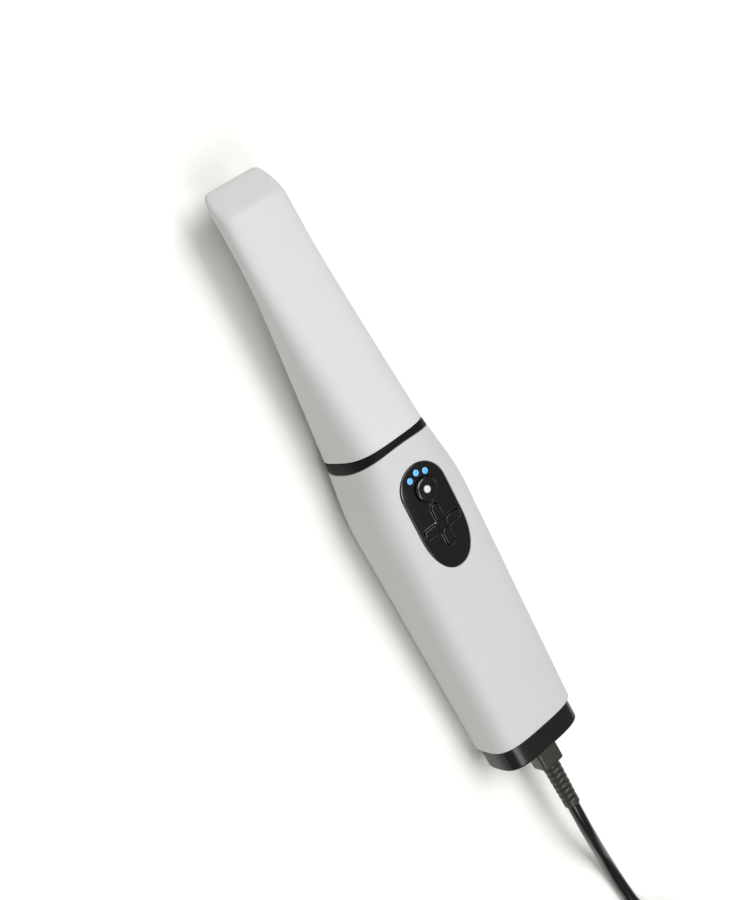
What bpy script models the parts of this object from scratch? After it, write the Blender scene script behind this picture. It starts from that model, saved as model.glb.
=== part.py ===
"""Intraoral scanner lying on the underside of its handle.

Frame: +X runs from the cord end to the nose, +Z out of the control panel, +Y to the left of
someone who holds it and looks along +X. The origin is on the surface below the middle of the
scanner. All lengths are in metres.
"""
import math

import bmesh
import bpy
from mathutils import Matrix, Vector

# Clearances
FIT = 0.0003                  # gap between pieces that touch
SLIP = 0.0006                 # gap between the tip and what it slides over
SWITCH_SLACK = 0.0002         # gap left between a pressed key and its switch

# Outer form, from the cord end to the nose
CAP_LENGTH = 0.0084
BODY_LENGTH = 0.1260          # end of the shell to the seam
KINK_FROM_SEAM = 0.0240       # widest place of the handle, behind the seam
FLARE_LENGTH = 0.0686         # seam to the place where the snout turns parallel
SNOUT_LENGTH = 0.0354
END_HALF_WIDTH = 0.0197
KINK_HALF_WIDTH = 0.0210
SEAM_HALF_WIDTH = 0.0167
BEND_HALF_WIDTH = 0.0138
NOSE_HALF_WIDTH = 0.0132
END_HEIGHT = 0.0281
KINK_HEIGHT = 0.0370
SEAM_HEIGHT = 0.0378
SEAM_LIFT = 0.0005            # underside at the seam, above the surface
SNOUT_TOP = 0.0300
SNOUT_THICKNESS = 0.0110
BODY_SQUARENESS = 3.0         # exponent of the superellipse sections
SNOUT_SQUARENESS = 3.6
UNDERSIDE_CUT = 0.00035       # height cut off the round underside, which leaves a flat
KINK_SOFTNESS = 0.0080
BEND_SOFTNESS = 0.0100
SIDES = 40                    # points round a section

# Tip
TIP_WALL = 0.0015
BEVEL_LENGTH = 0.0117         # slanted face of the nose
BEVEL_DROP = 0.0090
BEVEL_SOFTNESS = 0.0012
WINDOW_LENGTH = 0.0160        # scan window, along X
WINDOW_WIDTH = 0.0170
WINDOW_FROM_NOSE = 0.0050
WINDOW_CORNER = 0.0025
MIRROR_LENGTH = 0.0088
MIRROR_WIDTH = 0.0160
MIRROR_THICKNESS = 0.0010
MIRROR_FROM_NOSE = 0.0080     # middle of the mirror
MIRROR_GAP = 0.0006

# Seam band and the collar that carries it
BAND_TOP = 0.0023             # band on the top and the underside
BAND_SIDE = 0.0042            # band on the two sides
COLLAR_WALL = 0.0018
SPIGOT_LENGTH = 0.0077
SPIGOT_DROP = 0.0007          # the spigot's end is lower than the roof, which falls to the rear
LIP_LENGTH = 0.0040

# Optics
SNOUT_TUBE_LENGTH = 0.0600    # ahead of the seam
SNOUT_TUBE_WALL = 0.0013
SNOUT_FRONT_WALL = 0.0016
FLANGE_THICKNESS = 0.0015
OPTICS_AXIS_Z = 0.0239
GLASS_WIDTH = 0.0180
GLASS_HEIGHT = 0.0054
GLASS_THICKNESS = 0.0010
BLOCK_LENGTH = 0.0214
BLOCK_WIDTH = 0.0240
BLOCK_TOP = 0.0284
CAMERA_SPACING = 0.0132       # between the two camera axes
CAMERA_RADIUS = 0.0031
CAMERA_HOOD_RADIUS = 0.0038
PROJECTOR_RADIUS = 0.0025
PROJECTOR_HOOD_RADIUS = 0.0024
BARREL_WALL = 0.0006
BARREL_AHEAD = 0.0180         # barrel ahead of the block
HOOD_LENGTH = 0.0100
LENS_THICKNESS = 0.0016
SENSOR_SIZE = 0.0040
SENSOR_THICKNESS = 0.0009
CATCH_RADIUS = 0.0018
CATCH_FROM_SEAM = 0.0130

# Shell and chassis
SHELL_WALL = 0.0018
SHELL_EDGE = 0.0004           # broken edge at the end of the shell
CHASSIS_HALF_WIDTH = 0.0090
CHASSIS_WALL = 0.0012
CHASSIS_LIFT = 0.0010         # above the inside of the shell
CHASSIS_HEIGHT = 0.0087
CHASSIS_FROM_END = 0.0100
POST_RADIUS = 0.0020
POST_INSET = 0.0040           # screw post from the end of the main board
POST_SPREAD = 0.0060
SCREW_RADIUS = 0.0008
SCREW_HEAD_RADIUS = 0.0018
SCREW_HEAD_HEIGHT = 0.0010
SCREW_LENGTH = 0.0060

# Boards
BOARD_THICKNESS = 0.0014
BOARD_FROM_OPTICS = 0.0108    # main board to the optics block
MAIN_BOARD_WIDTH = 0.0260
PROCESSOR_SIZE = 0.0150
PROCESSOR_THICKNESS = 0.0016
PROCESSOR_SHARE = 0.30        # place of the processor along the main board
MEMORY_GAP = 0.0020
MEMORY_LENGTH = 0.0100
MEMORY_WIDTH = 0.0080
MEMORY_THICKNESS = 0.0011
SINK_LENGTH = 0.0200
SINK_WIDTH = 0.0170
SINK_HEIGHT = 0.0070
SINK_BASE = 0.0016
SINK_FINS = 6
SINK_FIN = 0.0010
FLEX_THICKNESS = 0.0003
FLEX_WIDTH = 0.0070
FLEX_LANDING = 0.0040         # end of a ribbon on the main board, from the board's end

# Control panel
PANEL_HALF_WIDTH = 0.0099
PANEL_LENGTH = 0.0414
PANEL_FROM_SEAM = 0.0112      # seam to the round end of the panel
PANEL_LOWER_LENGTH = 0.0171   # length of the egg-shaped end
PANEL_LOWER_SQUARENESS = 2.15
PANEL_GAP = 0.0002            # joint line between the panel and the shell
PANEL_THICKNESS = 0.0030
PANEL_EDGE = 0.0003           # rounded edge of the panel
FLANGE_WIDTH = 0.0012         # hidden flange of the panel under the shell
BOSS_RADIUS = 0.0010
BOSS_SPREAD = 0.0082
LIGHT_RADIUS = 0.00125
LIGHT_RING_RADIUS = 0.0068    # arc of the lights, round the button
LIGHT_STEP = 32               # degrees between the lights
LIGHT_GAP = 0.0002

# Scan button
BUTTON_RADIUS = 0.0045
BUTTON_PROUD = 0.0013
BUTTON_RIM = 0.0006
BUTTON_DISH = 0.0005
BUTTON_GAP = 0.0002
BUTTON_FLANGE = 0.0005
BUTTON_SEAT = 0.0004          # extra room above the flange, for the slope of the panel
BUTTON_TRAVEL = 0.0005
BUTTON_LIGHT_RADIUS = 0.0013

# Cross of four keys
CROSS_FROM_BUTTON = 0.0146
CROSS_REACH = 0.0085
CROSS_HALF_WIDTH = 0.00185
CROSS_END_RADIUS = 0.0015
CROSS_FILLET = 0.0012
KEY_GAP = 0.00035
KEY_START = 0.0018            # inner end of a key, from the middle of the cross
KEY_CORNER = 0.0012
KEY_PROUD = 0.0007
KEY_EDGE = 0.0004
KEY_TRAVEL = 0.0003
KEY_FLANGE = 0.0005
STEM_RADIUS = 0.0009
KEY_BOARD_DEPTH = 0.0060      # top of the key board, below the surface
SWITCH_SIZE = 0.0028
SWITCH_THICKNESS = 0.0008
SHEET_THICKNESS = 0.0003      # sheet under the switch domes, and strip under the lamps
SHEET_MARGIN = 0.0018
LAMP_SIZE = 0.0012
LAMP_MARGIN = 0.0007
LAMP_THICKNESS = 0.0007

# Rear cap
CAP_INSET = 0.00115           # step from the shell to the cap
CAP_RIM = 0.0007
CAP_ROUND = 0.0008
CAP_RECESS = 0.0022
CAP_FLOOR = 0.0020
CAP_SPIGOT_LENGTH = 0.0060
CAP_SPIGOT_WALL = 0.0015

# Plug at the scanner
PLUG_Z = 0.0178
PLUG_WIDTH = 0.0102
PLUG_HEIGHT = 0.0076
PLUG_CORNER = 0.0024
PLUG_PROTRUSION = 0.0098      # beyond the rim of the cap
PLUG_EDGE = 0.0006
SOCKET_WIDTH = 0.0092
SOCKET_HEIGHT = 0.0036
SOCKET_WALL = 0.0003
SOCKET_LENGTH = 0.0080
TONGUE_THICKNESS = 0.0007
PLUG_SHELL_LENGTH = 0.0066
DOT_RADIUS = 0.0009

# Strain relief and cord
CORD_RADIUS = 0.0025
RELIEF_LENGTH = 0.0195
RELIEF_ROOT = 0.0036
RELIEF_END = 0.0032
RELIEF_GROOVE = 0.0028
RELIEF_RIBS = 7
RELIEF_NECK = 0.0012

# Hank of the cord, its tie and the far plug
HANK_X = -0.2450              # middle of the fold next to the scanner
HANK_Y = 0.0010
HANK_RUN = 0.0550             # straight part of a turn
HANK_FOLD = 0.0175            # middle radius of the folds
HANK_ROWS = 2
HANK_LAYERS = 4
TURN_PITCH = 0.0050
TIE_THICKNESS = 0.0007
TIE_WIDTH = 0.0100
TAIL_LENGTH = 0.0330
GRIP_LENGTH = 0.0260
GRIP_WIDTH = 0.0150
GRIP_HEIGHT = 0.0076
GRIP_CORNER = 0.0024
USB_LENGTH = 0.0130
USB_WIDTH = 0.0120
USB_HEIGHT = 0.0045

# Places that follow from the sizes
OVERALL = CAP_LENGTH + BODY_LENGTH + FLARE_LENGTH + SNOUT_LENGTH
X_REAR = -OVERALL / 2
X_SHELL = X_REAR + CAP_LENGTH
X_SEAM = X_SHELL + BODY_LENGTH
X_KINK = X_SEAM - KINK_FROM_SEAM
X_BEND = X_SEAM + FLARE_LENGTH
X_NOSE = X_BEND + SNOUT_LENGTH
SNOUT_BOTTOM = SNOUT_TOP - SNOUT_THICKNESS
BEVEL_ANGLE = math.atan2(BEVEL_DROP, BEVEL_LENGTH)
X_PANEL_FRONT = X_SEAM - PANEL_FROM_SEAM
X_BUTTON = X_PANEL_FRONT - PANEL_HALF_WIDTH
X_PANEL_REAR = X_PANEL_FRONT - PANEL_LENGTH
X_PANEL_LOWER = X_PANEL_REAR + PANEL_LOWER_LENGTH
X_CROSS = X_BUTTON - CROSS_FROM_BUTTON
X_BLOCK_FRONT = X_SEAM - SPIGOT_LENGTH - FLANGE_THICKNESS - 2 * FIT
X_BLOCK_REAR = X_BLOCK_FRONT - BLOCK_LENGTH
CHASSIS_BOTTOM = SHELL_WALL + CHASSIS_LIFT
BOARD_BOTTOM = CHASSIS_BOTTOM + CHASSIS_HEIGHT + FIT
BOARD_TOP = BOARD_BOTTOM + BOARD_THICKNESS
BLOCK_BOTTOM = CHASSIS_BOTTOM + CHASSIS_HEIGHT + FIT
X_BOARD_REAR = X_SHELL + CHASSIS_FROM_END
X_BOARD_FRONT = X_BLOCK_REAR - BOARD_FROM_OPTICS
X_CAP_FLOOR = X_REAR + CAP_RECESS
X_PLUG_END = X_REAR - PLUG_PROTRUSION
X_RELIEF_END = X_PLUG_END - RELIEF_LENGTH
SPIGOT_INSET = SHELL_WALL + FIT
SPIGOT_FACE_INSET = SPIGOT_INSET + SPIGOT_DROP
HOLE_INSET = SPIGOT_INSET + COLLAR_WALL
TUBE_INSET = HOLE_INSET + FIT

# Knots of the outer form: place, value, softness of the corner
WIDTH_KNOTS = (
    (X_SHELL, END_HALF_WIDTH, 0.0),
    (X_KINK, KINK_HALF_WIDTH, KINK_SOFTNESS),
    (X_SEAM, SEAM_HALF_WIDTH, 0.0),
    (X_BEND, BEND_HALF_WIDTH, BEND_SOFTNESS),
    (X_NOSE, NOSE_HALF_WIDTH, 0.0),
)
TOP_KNOTS = (
    (X_SHELL, END_HEIGHT, 0.0),
    (X_KINK, KINK_HEIGHT, KINK_SOFTNESS),
    (X_SEAM, SEAM_HEIGHT, 0.0),
    (X_BEND, SNOUT_TOP, BEND_SOFTNESS),
    (X_NOSE, SNOUT_TOP, 0.0),
)
BOTTOM_KNOTS = (
    (X_SHELL, 0.0, 0.0),
    (X_KINK, 0.0, KINK_SOFTNESS),
    (X_SEAM, SEAM_LIFT, 0.0),
    (X_BEND, SNOUT_BOTTOM, BEND_SOFTNESS),
    (X_NOSE, SNOUT_BOTTOM, 0.0),
)
SQUARENESS_KNOTS = (
    (X_SEAM, BODY_SQUARENESS, 0.0),
    (X_BEND, SNOUT_SQUARENESS, 0.0),
)

# Route of the cord from the strain relief to the hank, chosen by hand
CORD_ROUTE = (
    (-0.1491, 0.0000, 0.0178),
    (-0.1560, 0.0000, 0.0177),
    (-0.1650, -0.0008, 0.0160),
    (-0.1750, -0.0030, 0.0118),
    (-0.1850, -0.0056, 0.0070),
    (-0.1950, -0.0075, 0.0040),
    (-0.2050, -0.0087, 0.0031),
    (-0.2130, -0.0098, 0.0031),
    (-0.2210, -0.0132, 0.0033),
    (-0.2268, -0.0173, 0.0035),
)


def softened(x, knots):
    """Value at x of straight runs through the knots, with each inner corner rounded off."""
    x = min(max(x, knots[0][0]), knots[-1][0])
    for (x0, v0, _), (x1, v1, _) in zip(knots, knots[1:]):
        value = v0 + (v1 - v0) * (x - x0) / (x1 - x0)
        if x <= x1:
            break
    for before, knot, after in zip(knots, knots[1:], knots[2:]):
        place, level, softness = knot
        if abs(x - place) < softness:
            slope_in = (level - before[1]) / (place - before[0])
            slope_out = (after[1] - level) / (after[0] - place)
            run = x - place + softness
            value = level + slope_in * (x - place) + (slope_out - slope_in) * run ** 2 / (4 * softness)
    return value


def smooth_min(a, b, softness):
    """The lower of two heights, with the edge between them rounded."""
    share = min(max(0.5 + 0.5 * (b - a) / softness, 0.0), 1.0)
    return b + (a - b) * share - softness * share * (1 - share)


def section_values(x, inset=0.0):
    """Half width, lowest height, highest height and squareness of the section at x."""
    half_width = softened(x, WIDTH_KNOTS) - inset
    low = softened(x, BOTTOM_KNOTS) - UNDERSIDE_CUT + inset
    high = softened(x, TOP_KNOTS) - inset
    return half_width, low, high, softened(x, SQUARENESS_KNOTS)


def section(x, inset=0.0, at=None, side_inset=None, face_inset=None):
    """Ring of points of the outer form at x, drawn at the place `at` where that is given."""
    half_width, low, high, squareness = section_values(x)
    half_width -= inset if side_inset is None else side_inset
    face = inset if face_inset is None else face_inset
    low += face
    roof = SNOUT_TOP + (X_NOSE - BEVEL_LENGTH - x) * math.tan(BEVEL_ANGLE)
    high = smooth_min(high - face, roof - face / math.cos(BEVEL_ANGLE), BEVEL_SOFTNESS)
    middle = (low + high) / 2
    rise = (high - low) / 2
    points = []
    for index in range(SIDES):
        angle = 2 * math.pi * (index + 0.5) / SIDES
        across = math.copysign(abs(math.cos(angle)) ** (2 / squareness), math.cos(angle))
        up = math.copysign(abs(math.sin(angle)) ** (2 / squareness), math.sin(angle))
        height = max(middle + rise * up, low + UNDERSIDE_CUT)
        points.append(Vector((x if at is None else at, half_width * across, height)))
    return points


def surface_height(x, y):
    """Height of the outer surface above the place (x, y)."""
    half_width, low, high, squareness = section_values(x)
    share = min(abs(y) / half_width, 1.0)
    return (low + high) / 2 + (high - low) / 2 * (1 - share ** squareness) ** (1 / squareness)


def arc(centre, radius, start, end, steps):
    """Points of an arc, angles in degrees."""
    points = []
    for index in range(steps + 1):
        angle = math.radians(start + (end - start) * index / steps)
        points.append((centre[0] + radius * math.cos(angle), centre[1] + radius * math.sin(angle)))
    return points


def rounded_rectangle(length, width, radius, steps=4, centre=(0.0, 0.0)):
    """Outline with its length along the first axis."""
    a = length / 2 - radius
    b = width / 2 - radius
    points = []
    for sign_a, sign_b, start in ((1, 1, 0), (-1, 1, 90), (-1, -1, 180), (1, -1, 270)):
        corner = (centre[0] + sign_a * a, centre[1] + sign_b * b)
        points += arc(corner, radius, start, start + 90, steps)
    return points


def panel_outline(grow=0.0, lower_steps=18, upper_steps=14):
    """Outline of the control panel: round towards the nose, egg-shaped towards the cord."""
    half_width = PANEL_HALF_WIDTH + grow
    points = arc((X_BUTTON, 0.0), half_width, -90, 90, upper_steps)
    for index in range(lower_steps + 1):
        angle = math.pi / 2 + math.pi * index / lower_steps
        back = -(abs(math.cos(angle)) ** (2 / PANEL_LOWER_SQUARENESS))
        side = math.copysign(abs(math.sin(angle)) ** (2 / PANEL_LOWER_SQUARENESS), math.sin(angle))
        points.append((X_PANEL_LOWER + (PANEL_LOWER_LENGTH + grow) * back, half_width * side))
    return points


def cross_outline(grow=0.0):
    """Outline of the cross-shaped slot, with rounded ends and filleted inner corners."""
    reach = CROSS_REACH + grow
    half = CROSS_HALF_WIDTH + grow
    fillet = CROSS_FILLET - grow
    end = CROSS_END_RADIUS
    points = []
    for quarter in range(4):
        turn = Matrix.Rotation(math.radians(90 * quarter), 2)
        arm = arc((reach - end, end - half), end, -90, 0, 4)
        arm += arc((reach - end, half - end), end, 0, 90, 4)
        arm += arc((half + fillet, half + fillet), fillet, -90, -180, 4)[:-1]
        for point in arm:
            turned_point = turn @ Vector(point)
            points.append((X_CROSS + turned_point.x, turned_point.y))
    return points


def start_scene():
    """Empty the scene and make the two collections."""
    for item in list(bpy.data.objects):
        bpy.data.objects.remove(item, do_unlink=True)
    parts = bpy.data.collections.new("intraoral_scanner")
    cutters = bpy.data.collections.new("cutters")
    for collection in (parts, cutters):
        bpy.context.scene.collection.children.link(collection)
    return parts, cutters


PARTS, CUTTERS = start_scene()


def material(name, colour, roughness, metallic=0.0, transmission=0.0, emission=0.0):
    """Principled material with one colour."""
    made = bpy.data.materials.new(name)
    made.use_nodes = True
    shader = made.node_tree.nodes["Principled BSDF"]
    shader.inputs["Base Color"].default_value = (*colour, 1.0)
    shader.inputs["Roughness"].default_value = roughness
    shader.inputs["Metallic"].default_value = metallic
    shader.inputs["Transmission Weight"].default_value = transmission
    if emission:
        shader.inputs["Emission Color"].default_value = (*colour, 1.0)
        shader.inputs["Emission Strength"].default_value = emission
    made.diffuse_color = (*colour, 1.0)
    return made


WHITE_SATIN = (0.72, 0.72, 0.71)
GLOSS_BLACK = (0.012, 0.012, 0.011)
SOFT_BLACK = (0.018, 0.018, 0.017)
ALUMINIUM = (0.62, 0.63, 0.64)
BLACK_ANODISED = (0.02, 0.02, 0.022)
BOARD_GREEN = (0.02, 0.13, 0.06)
CHIP_BLACK = (0.015, 0.015, 0.016)
STEEL = (0.55, 0.56, 0.58)
GLASS = (0.80, 0.88, 0.90)
LIGHT_BLUE = (0.18, 0.52, 0.90)
LIGHT_WHITE = (0.90, 0.90, 0.90)
FLEX_AMBER = (0.45, 0.20, 0.03)


def add_part(name, mesh, colour, roughness, **finish):
    """Object of its own in the parts collection, with a material of its own."""
    item = bpy.data.objects.new(name, mesh)
    PARTS.objects.link(item)
    mesh.materials.clear()
    mesh.materials.append(material(name + "_finish", colour, roughness, **finish))
    return item


def smooth(item, degrees=35):
    """Shade the piece smooth, with sharp edges kept."""
    item.data.shade_smooth()
    item.data.set_sharp_from_angle(angle=math.radians(degrees))


def mesh_from_bmesh(name, bm):
    """Mesh with its normals facing out."""
    bmesh.ops.recalc_face_normals(bm, faces=bm.faces)
    if bm.calc_volume(signed=True) < 0:
        bmesh.ops.reverse_faces(bm, faces=bm.faces)
    mesh = bpy.data.meshes.new(name)
    bm.to_mesh(mesh)
    bm.free()
    return mesh


def loft_mesh(name, rings, closed=False, capped=True):
    """Skin over a row of rings with the same count of points, with flat ends or joined round."""
    bm = bmesh.new()
    rows = [[bm.verts.new(point) for point in ring] for ring in rings]
    pairs = list(zip(rows, rows[1:]))
    if closed:
        pairs.append((rows[-1], rows[0]))
    for first, second in pairs:
        for index in range(len(first)):
            after = (index + 1) % len(first)
            bm.faces.new((first[index], first[after], second[after], second[index]))
    if capped and not closed:
        bm.faces.new(rows[0])
        bm.faces.new(rows[-1])
    return mesh_from_bmesh(name, bm)


def extruded_mesh(name, outline, start, end, along="Z", place=(0.0, 0.0, 0.0)):
    """Flat outline as a 2D curve, extruded from start to end along X, Y or Z, made a mesh.

    Along X the outline holds (y, z), along Y it holds (x, z) and along Z it holds (x, y).
    """
    curve = bpy.data.curves.new(name, "CURVE")
    curve.dimensions = "2D"
    curve.fill_mode = "BOTH"
    curve.extrude = (end - start) / 2
    spline = curve.splines.new("POLY")
    spline.points.add(len(outline) - 1)
    for point, (u, v) in zip(spline.points, outline):
        point.co = (u, v, 0.0, 1.0)
    spline.use_cyclic_u = True
    item = bpy.data.objects.new(name, curve)
    bpy.context.scene.collection.objects.link(item)
    bpy.context.view_layer.update()
    evaluated = item.evaluated_get(bpy.context.evaluated_depsgraph_get())
    mesh = bpy.data.meshes.new_from_object(evaluated)
    bpy.data.objects.remove(item, do_unlink=True)
    bpy.data.curves.remove(curve)
    middle = (start + end) / 2
    axes = {
        "X": Matrix(((0, 0, 1, middle), (1, 0, 0, 0), (0, 1, 0, 0), (0, 0, 0, 1))),
        "Y": Matrix(((1, 0, 0, 0), (0, 0, -1, middle), (0, 1, 0, 0), (0, 0, 0, 1))),
        "Z": Matrix.Translation((0, 0, middle)),
    }
    bm = bmesh.new()
    bm.from_mesh(mesh)
    bmesh.ops.transform(bm, matrix=Matrix.Translation(place) @ axes[along], verts=bm.verts)
    bmesh.ops.remove_doubles(bm, verts=bm.verts, dist=0.00001)
    bpy.data.meshes.remove(mesh)
    return mesh_from_bmesh(name, bm)


def box_mesh(name, low, high):
    """Box between two corners, from a cube primitive."""
    low = Vector(low)
    high = Vector(high)
    bm = bmesh.new()
    bmesh.ops.create_cube(bm, size=1.0)
    bmesh.ops.scale(bm, vec=high - low, verts=bm.verts)
    bmesh.ops.translate(bm, vec=(low + high) / 2, verts=bm.verts)
    return mesh_from_bmesh(name, bm)


def cylinder_mesh(name, radius, start, end, axis="Z", centre=(0.0, 0.0), sides=20):
    """Cylinder from start to end along an axis; centre holds the two other coordinates."""
    bm = bmesh.new()
    bmesh.ops.create_cone(
        bm, cap_ends=True, segments=sides, radius1=radius, radius2=radius, depth=end - start)
    bmesh.ops.translate(bm, vec=(0, 0, (start + end) / 2), verts=bm.verts)
    u, v = centre
    frames = {
        "X": Matrix(((0, 0, 1, 0), (1, 0, 0, u), (0, 1, 0, v), (0, 0, 0, 1))),
        "Y": Matrix(((1, 0, 0, u), (0, 0, 1, 0), (0, -1, 0, v), (0, 0, 0, 1))),
        "Z": Matrix.Translation((u, v, 0)),
    }
    bmesh.ops.transform(bm, matrix=frames[axis], verts=bm.verts)
    return mesh_from_bmesh(name, bm)


def joined_mesh(name, meshes):
    """Several separate solids in one mesh."""
    bm = bmesh.new()
    for mesh in meshes:
        bm.from_mesh(mesh)
        bpy.data.meshes.remove(mesh)
    return mesh_from_bmesh(name, bm)


def turned(name, profile, colour, roughness, steps=24, **finish):
    """Turned piece about its own Z axis; the profile of (radius, height) runs down its outer side."""
    mesh = bpy.data.meshes.new(name)
    points = [(radius if radius > 0.000001 else 0.0, 0.0, height) for radius, height in profile]
    pairs = [(index, (index + 1) % len(points)) for index in range(len(points))]
    edges = [(a, b) for a, b in pairs if points[a][0] > 0 or points[b][0] > 0]
    mesh.from_pydata(points, edges, [])
    item = add_part(name, mesh, colour, roughness, **finish)
    screw = item.modifiers.new("Turn", "SCREW")
    screw.axis = "Z"
    screw.angle = 2 * math.pi
    screw.steps = steps
    screw.render_steps = steps
    screw.use_merge_vertices = True
    screw.merge_threshold = 0.00001
    screw.use_smooth_shade = True
    return item


def lay_along_x(item, x, y, z):
    """Turn a turned piece so that its axis points along +X from the place given."""
    item.rotation_euler = (0.0, math.radians(90), 0.0)
    item.location = (x, y, z)


def cut(item, mesh, operation="DIFFERENCE"):
    """Boolean with a cutter that stays in the cutters collection."""
    cutter = bpy.data.objects.new(mesh.name, mesh)
    CUTTERS.objects.link(cutter)
    cutter.hide_render = True
    cutter.display_type = "WIRE"
    boolean = item.modifiers.new(mesh.name, "BOOLEAN")
    boolean.operation = operation
    boolean.solver = "EXACT"
    boolean.object = cutter
    return cutter


def round_edges(item, width, segments=2, degrees=50):
    """Bevel on the sharp edges."""
    bevel = item.modifiers.new("Round edges", "BEVEL")
    bevel.width = width
    bevel.segments = segments
    bevel.limit_method = "ANGLE"
    bevel.angle_limit = math.radians(degrees)
    return bevel


def spread(start, end, count):
    """Evenly spaced values, both ends included."""
    return [start + (end - start) * index / (count - 1) for index in range(count)]


def moving_frame(name, place, items):
    """Empty on a joint's axis that carries the pieces of a moving body."""
    frame = bpy.data.objects.new(name, None)
    frame.location = place
    frame.empty_display_size = 0.005
    PARTS.objects.link(frame)
    bpy.context.view_layer.update()
    for item in items:
        item.parent = frame
        item.matrix_parent_inverse = frame.matrix_world.inverted()
    return frame


def band_width(point, middle):
    """Width of the seam band at a point of the seam section: widest half way up the sides."""
    angle = math.atan2(point.z - middle, point.y)
    return BAND_TOP + (BAND_SIDE - BAND_TOP) * math.cos(angle) ** 2


def band_ring(inset, gap):
    """Ring along the wavy rear edge of the seam band, on the outer form less an inset."""
    _, low, high, _ = section_values(X_SEAM)
    middle = (low + high) / 2
    points = []
    for index, point in enumerate(section(X_SEAM)):
        place = X_SEAM - band_width(point, middle) - gap
        points.append(section(place, inset)[index])
    return points


def make_tip_sleeve():
    """Moulded sleeve: one skin that runs out over the nose, turns at the seam and runs in."""
    rear = X_SEAM + FIT / 2
    outer_places = [rear, X_SEAM + FLARE_LENGTH * 0.42]
    outer_places += [X_BEND + BEND_SOFTNESS * share for share in (-1.0, -0.33, 0.33, 1.0)]
    outer_places += [X_NOSE - BEVEL_LENGTH - 0.0010, X_NOSE - BEVEL_LENGTH + 0.0009]
    nose = ((0.0034, 0.0, 0.0), (0.0018, 0.0004, 0.0), (0.0006, 0.0012, 0.0002),
            (0.0, 0.0024, 0.0006))
    rings = [section(place) for place in outer_places]
    for back, side, face in nose:
        rings.append(section(X_NOSE - back, side_inset=side, face_inset=face))
    rings.reverse()
    inner_places = [rear, X_BEND - BEND_SOFTNESS, X_BEND, X_BEND + BEND_SOFTNESS]
    inner_places += [X_NOSE - BEVEL_LENGTH - 0.0010, X_NOSE - BEVEL_LENGTH + 0.0009]
    inner_places.append(X_NOSE - 0.0038)
    rings += [section(place, TIP_WALL) for place in inner_places]
    sleeve = add_part("tip_sleeve", loft_mesh("tip_sleeve", rings), WHITE_SATIN, 0.45)
    window_middle = X_NOSE - WINDOW_FROM_NOSE - WINDOW_LENGTH / 2
    outline = rounded_rectangle(
        WINDOW_LENGTH, WINDOW_WIDTH, WINDOW_CORNER, centre=(window_middle, 0.0))
    floor = SNOUT_BOTTOM + TIP_WALL
    cut(sleeve, extruded_mesh("scan_window_cutter", outline, SNOUT_BOTTOM - 0.002, floor + 0.001))
    smooth(sleeve)
    return sleeve


def make_tip_mirror():
    """Mirror glued behind the slanted face of the nose."""
    length = MIRROR_LENGTH / 2
    mesh = box_mesh(
        "tip_mirror",
        (-length, -MIRROR_WIDTH / 2, -MIRROR_THICKNESS),
        (length, MIRROR_WIDTH / 2, 0.0))
    mirror = add_part("tip_mirror", mesh, GLASS, 0.02, metallic=1.0)
    roof = SNOUT_TOP - BEVEL_DROP + MIRROR_FROM_NOSE * math.tan(BEVEL_ANGLE)
    mirror.location = (
        X_NOSE - MIRROR_FROM_NOSE, 0.0, roof - (TIP_WALL + MIRROR_GAP) / math.cos(BEVEL_ANGLE))
    mirror.rotation_euler = (0.0, BEVEL_ANGLE, 0.0)
    return mirror


def make_front_collar():
    """Seam band, flush with the shell, with a spigot in the shell and a lip in the tip."""
    front = X_SEAM - FIT / 2
    rings = [
        section(X_SEAM, at=front),
        band_ring(0.0, 0.0),
        band_ring(SPIGOT_INSET, 0.0),
        section(X_SEAM, SPIGOT_INSET, at=X_SEAM - SPIGOT_LENGTH, face_inset=SPIGOT_FACE_INSET),
        section(X_SEAM, HOLE_INSET, at=X_SEAM - SPIGOT_LENGTH),
        section(X_SEAM, HOLE_INSET, at=X_SEAM),
        section(X_SEAM + LIP_LENGTH, HOLE_INSET),
        section(X_SEAM + LIP_LENGTH, TIP_WALL + FIT),
        section(X_SEAM, TIP_WALL + FIT, at=front),
    ]
    collar = add_part("front_collar", loft_mesh("front_collar", rings, closed=True), GLOSS_BLACK, 0.12)
    smooth(collar)
    return collar


def tube_inset(x):
    """Inset of the snout tube from the outer form: it closes in on the tip towards the front."""
    start = X_SEAM + LIP_LENGTH
    front = X_SEAM + SNOUT_TUBE_LENGTH
    share = min(max((x - start) / (front - start), 0.0), 1.0)
    return TUBE_INSET + (TIP_WALL + SLIP - TUBE_INSET) * share


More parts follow.
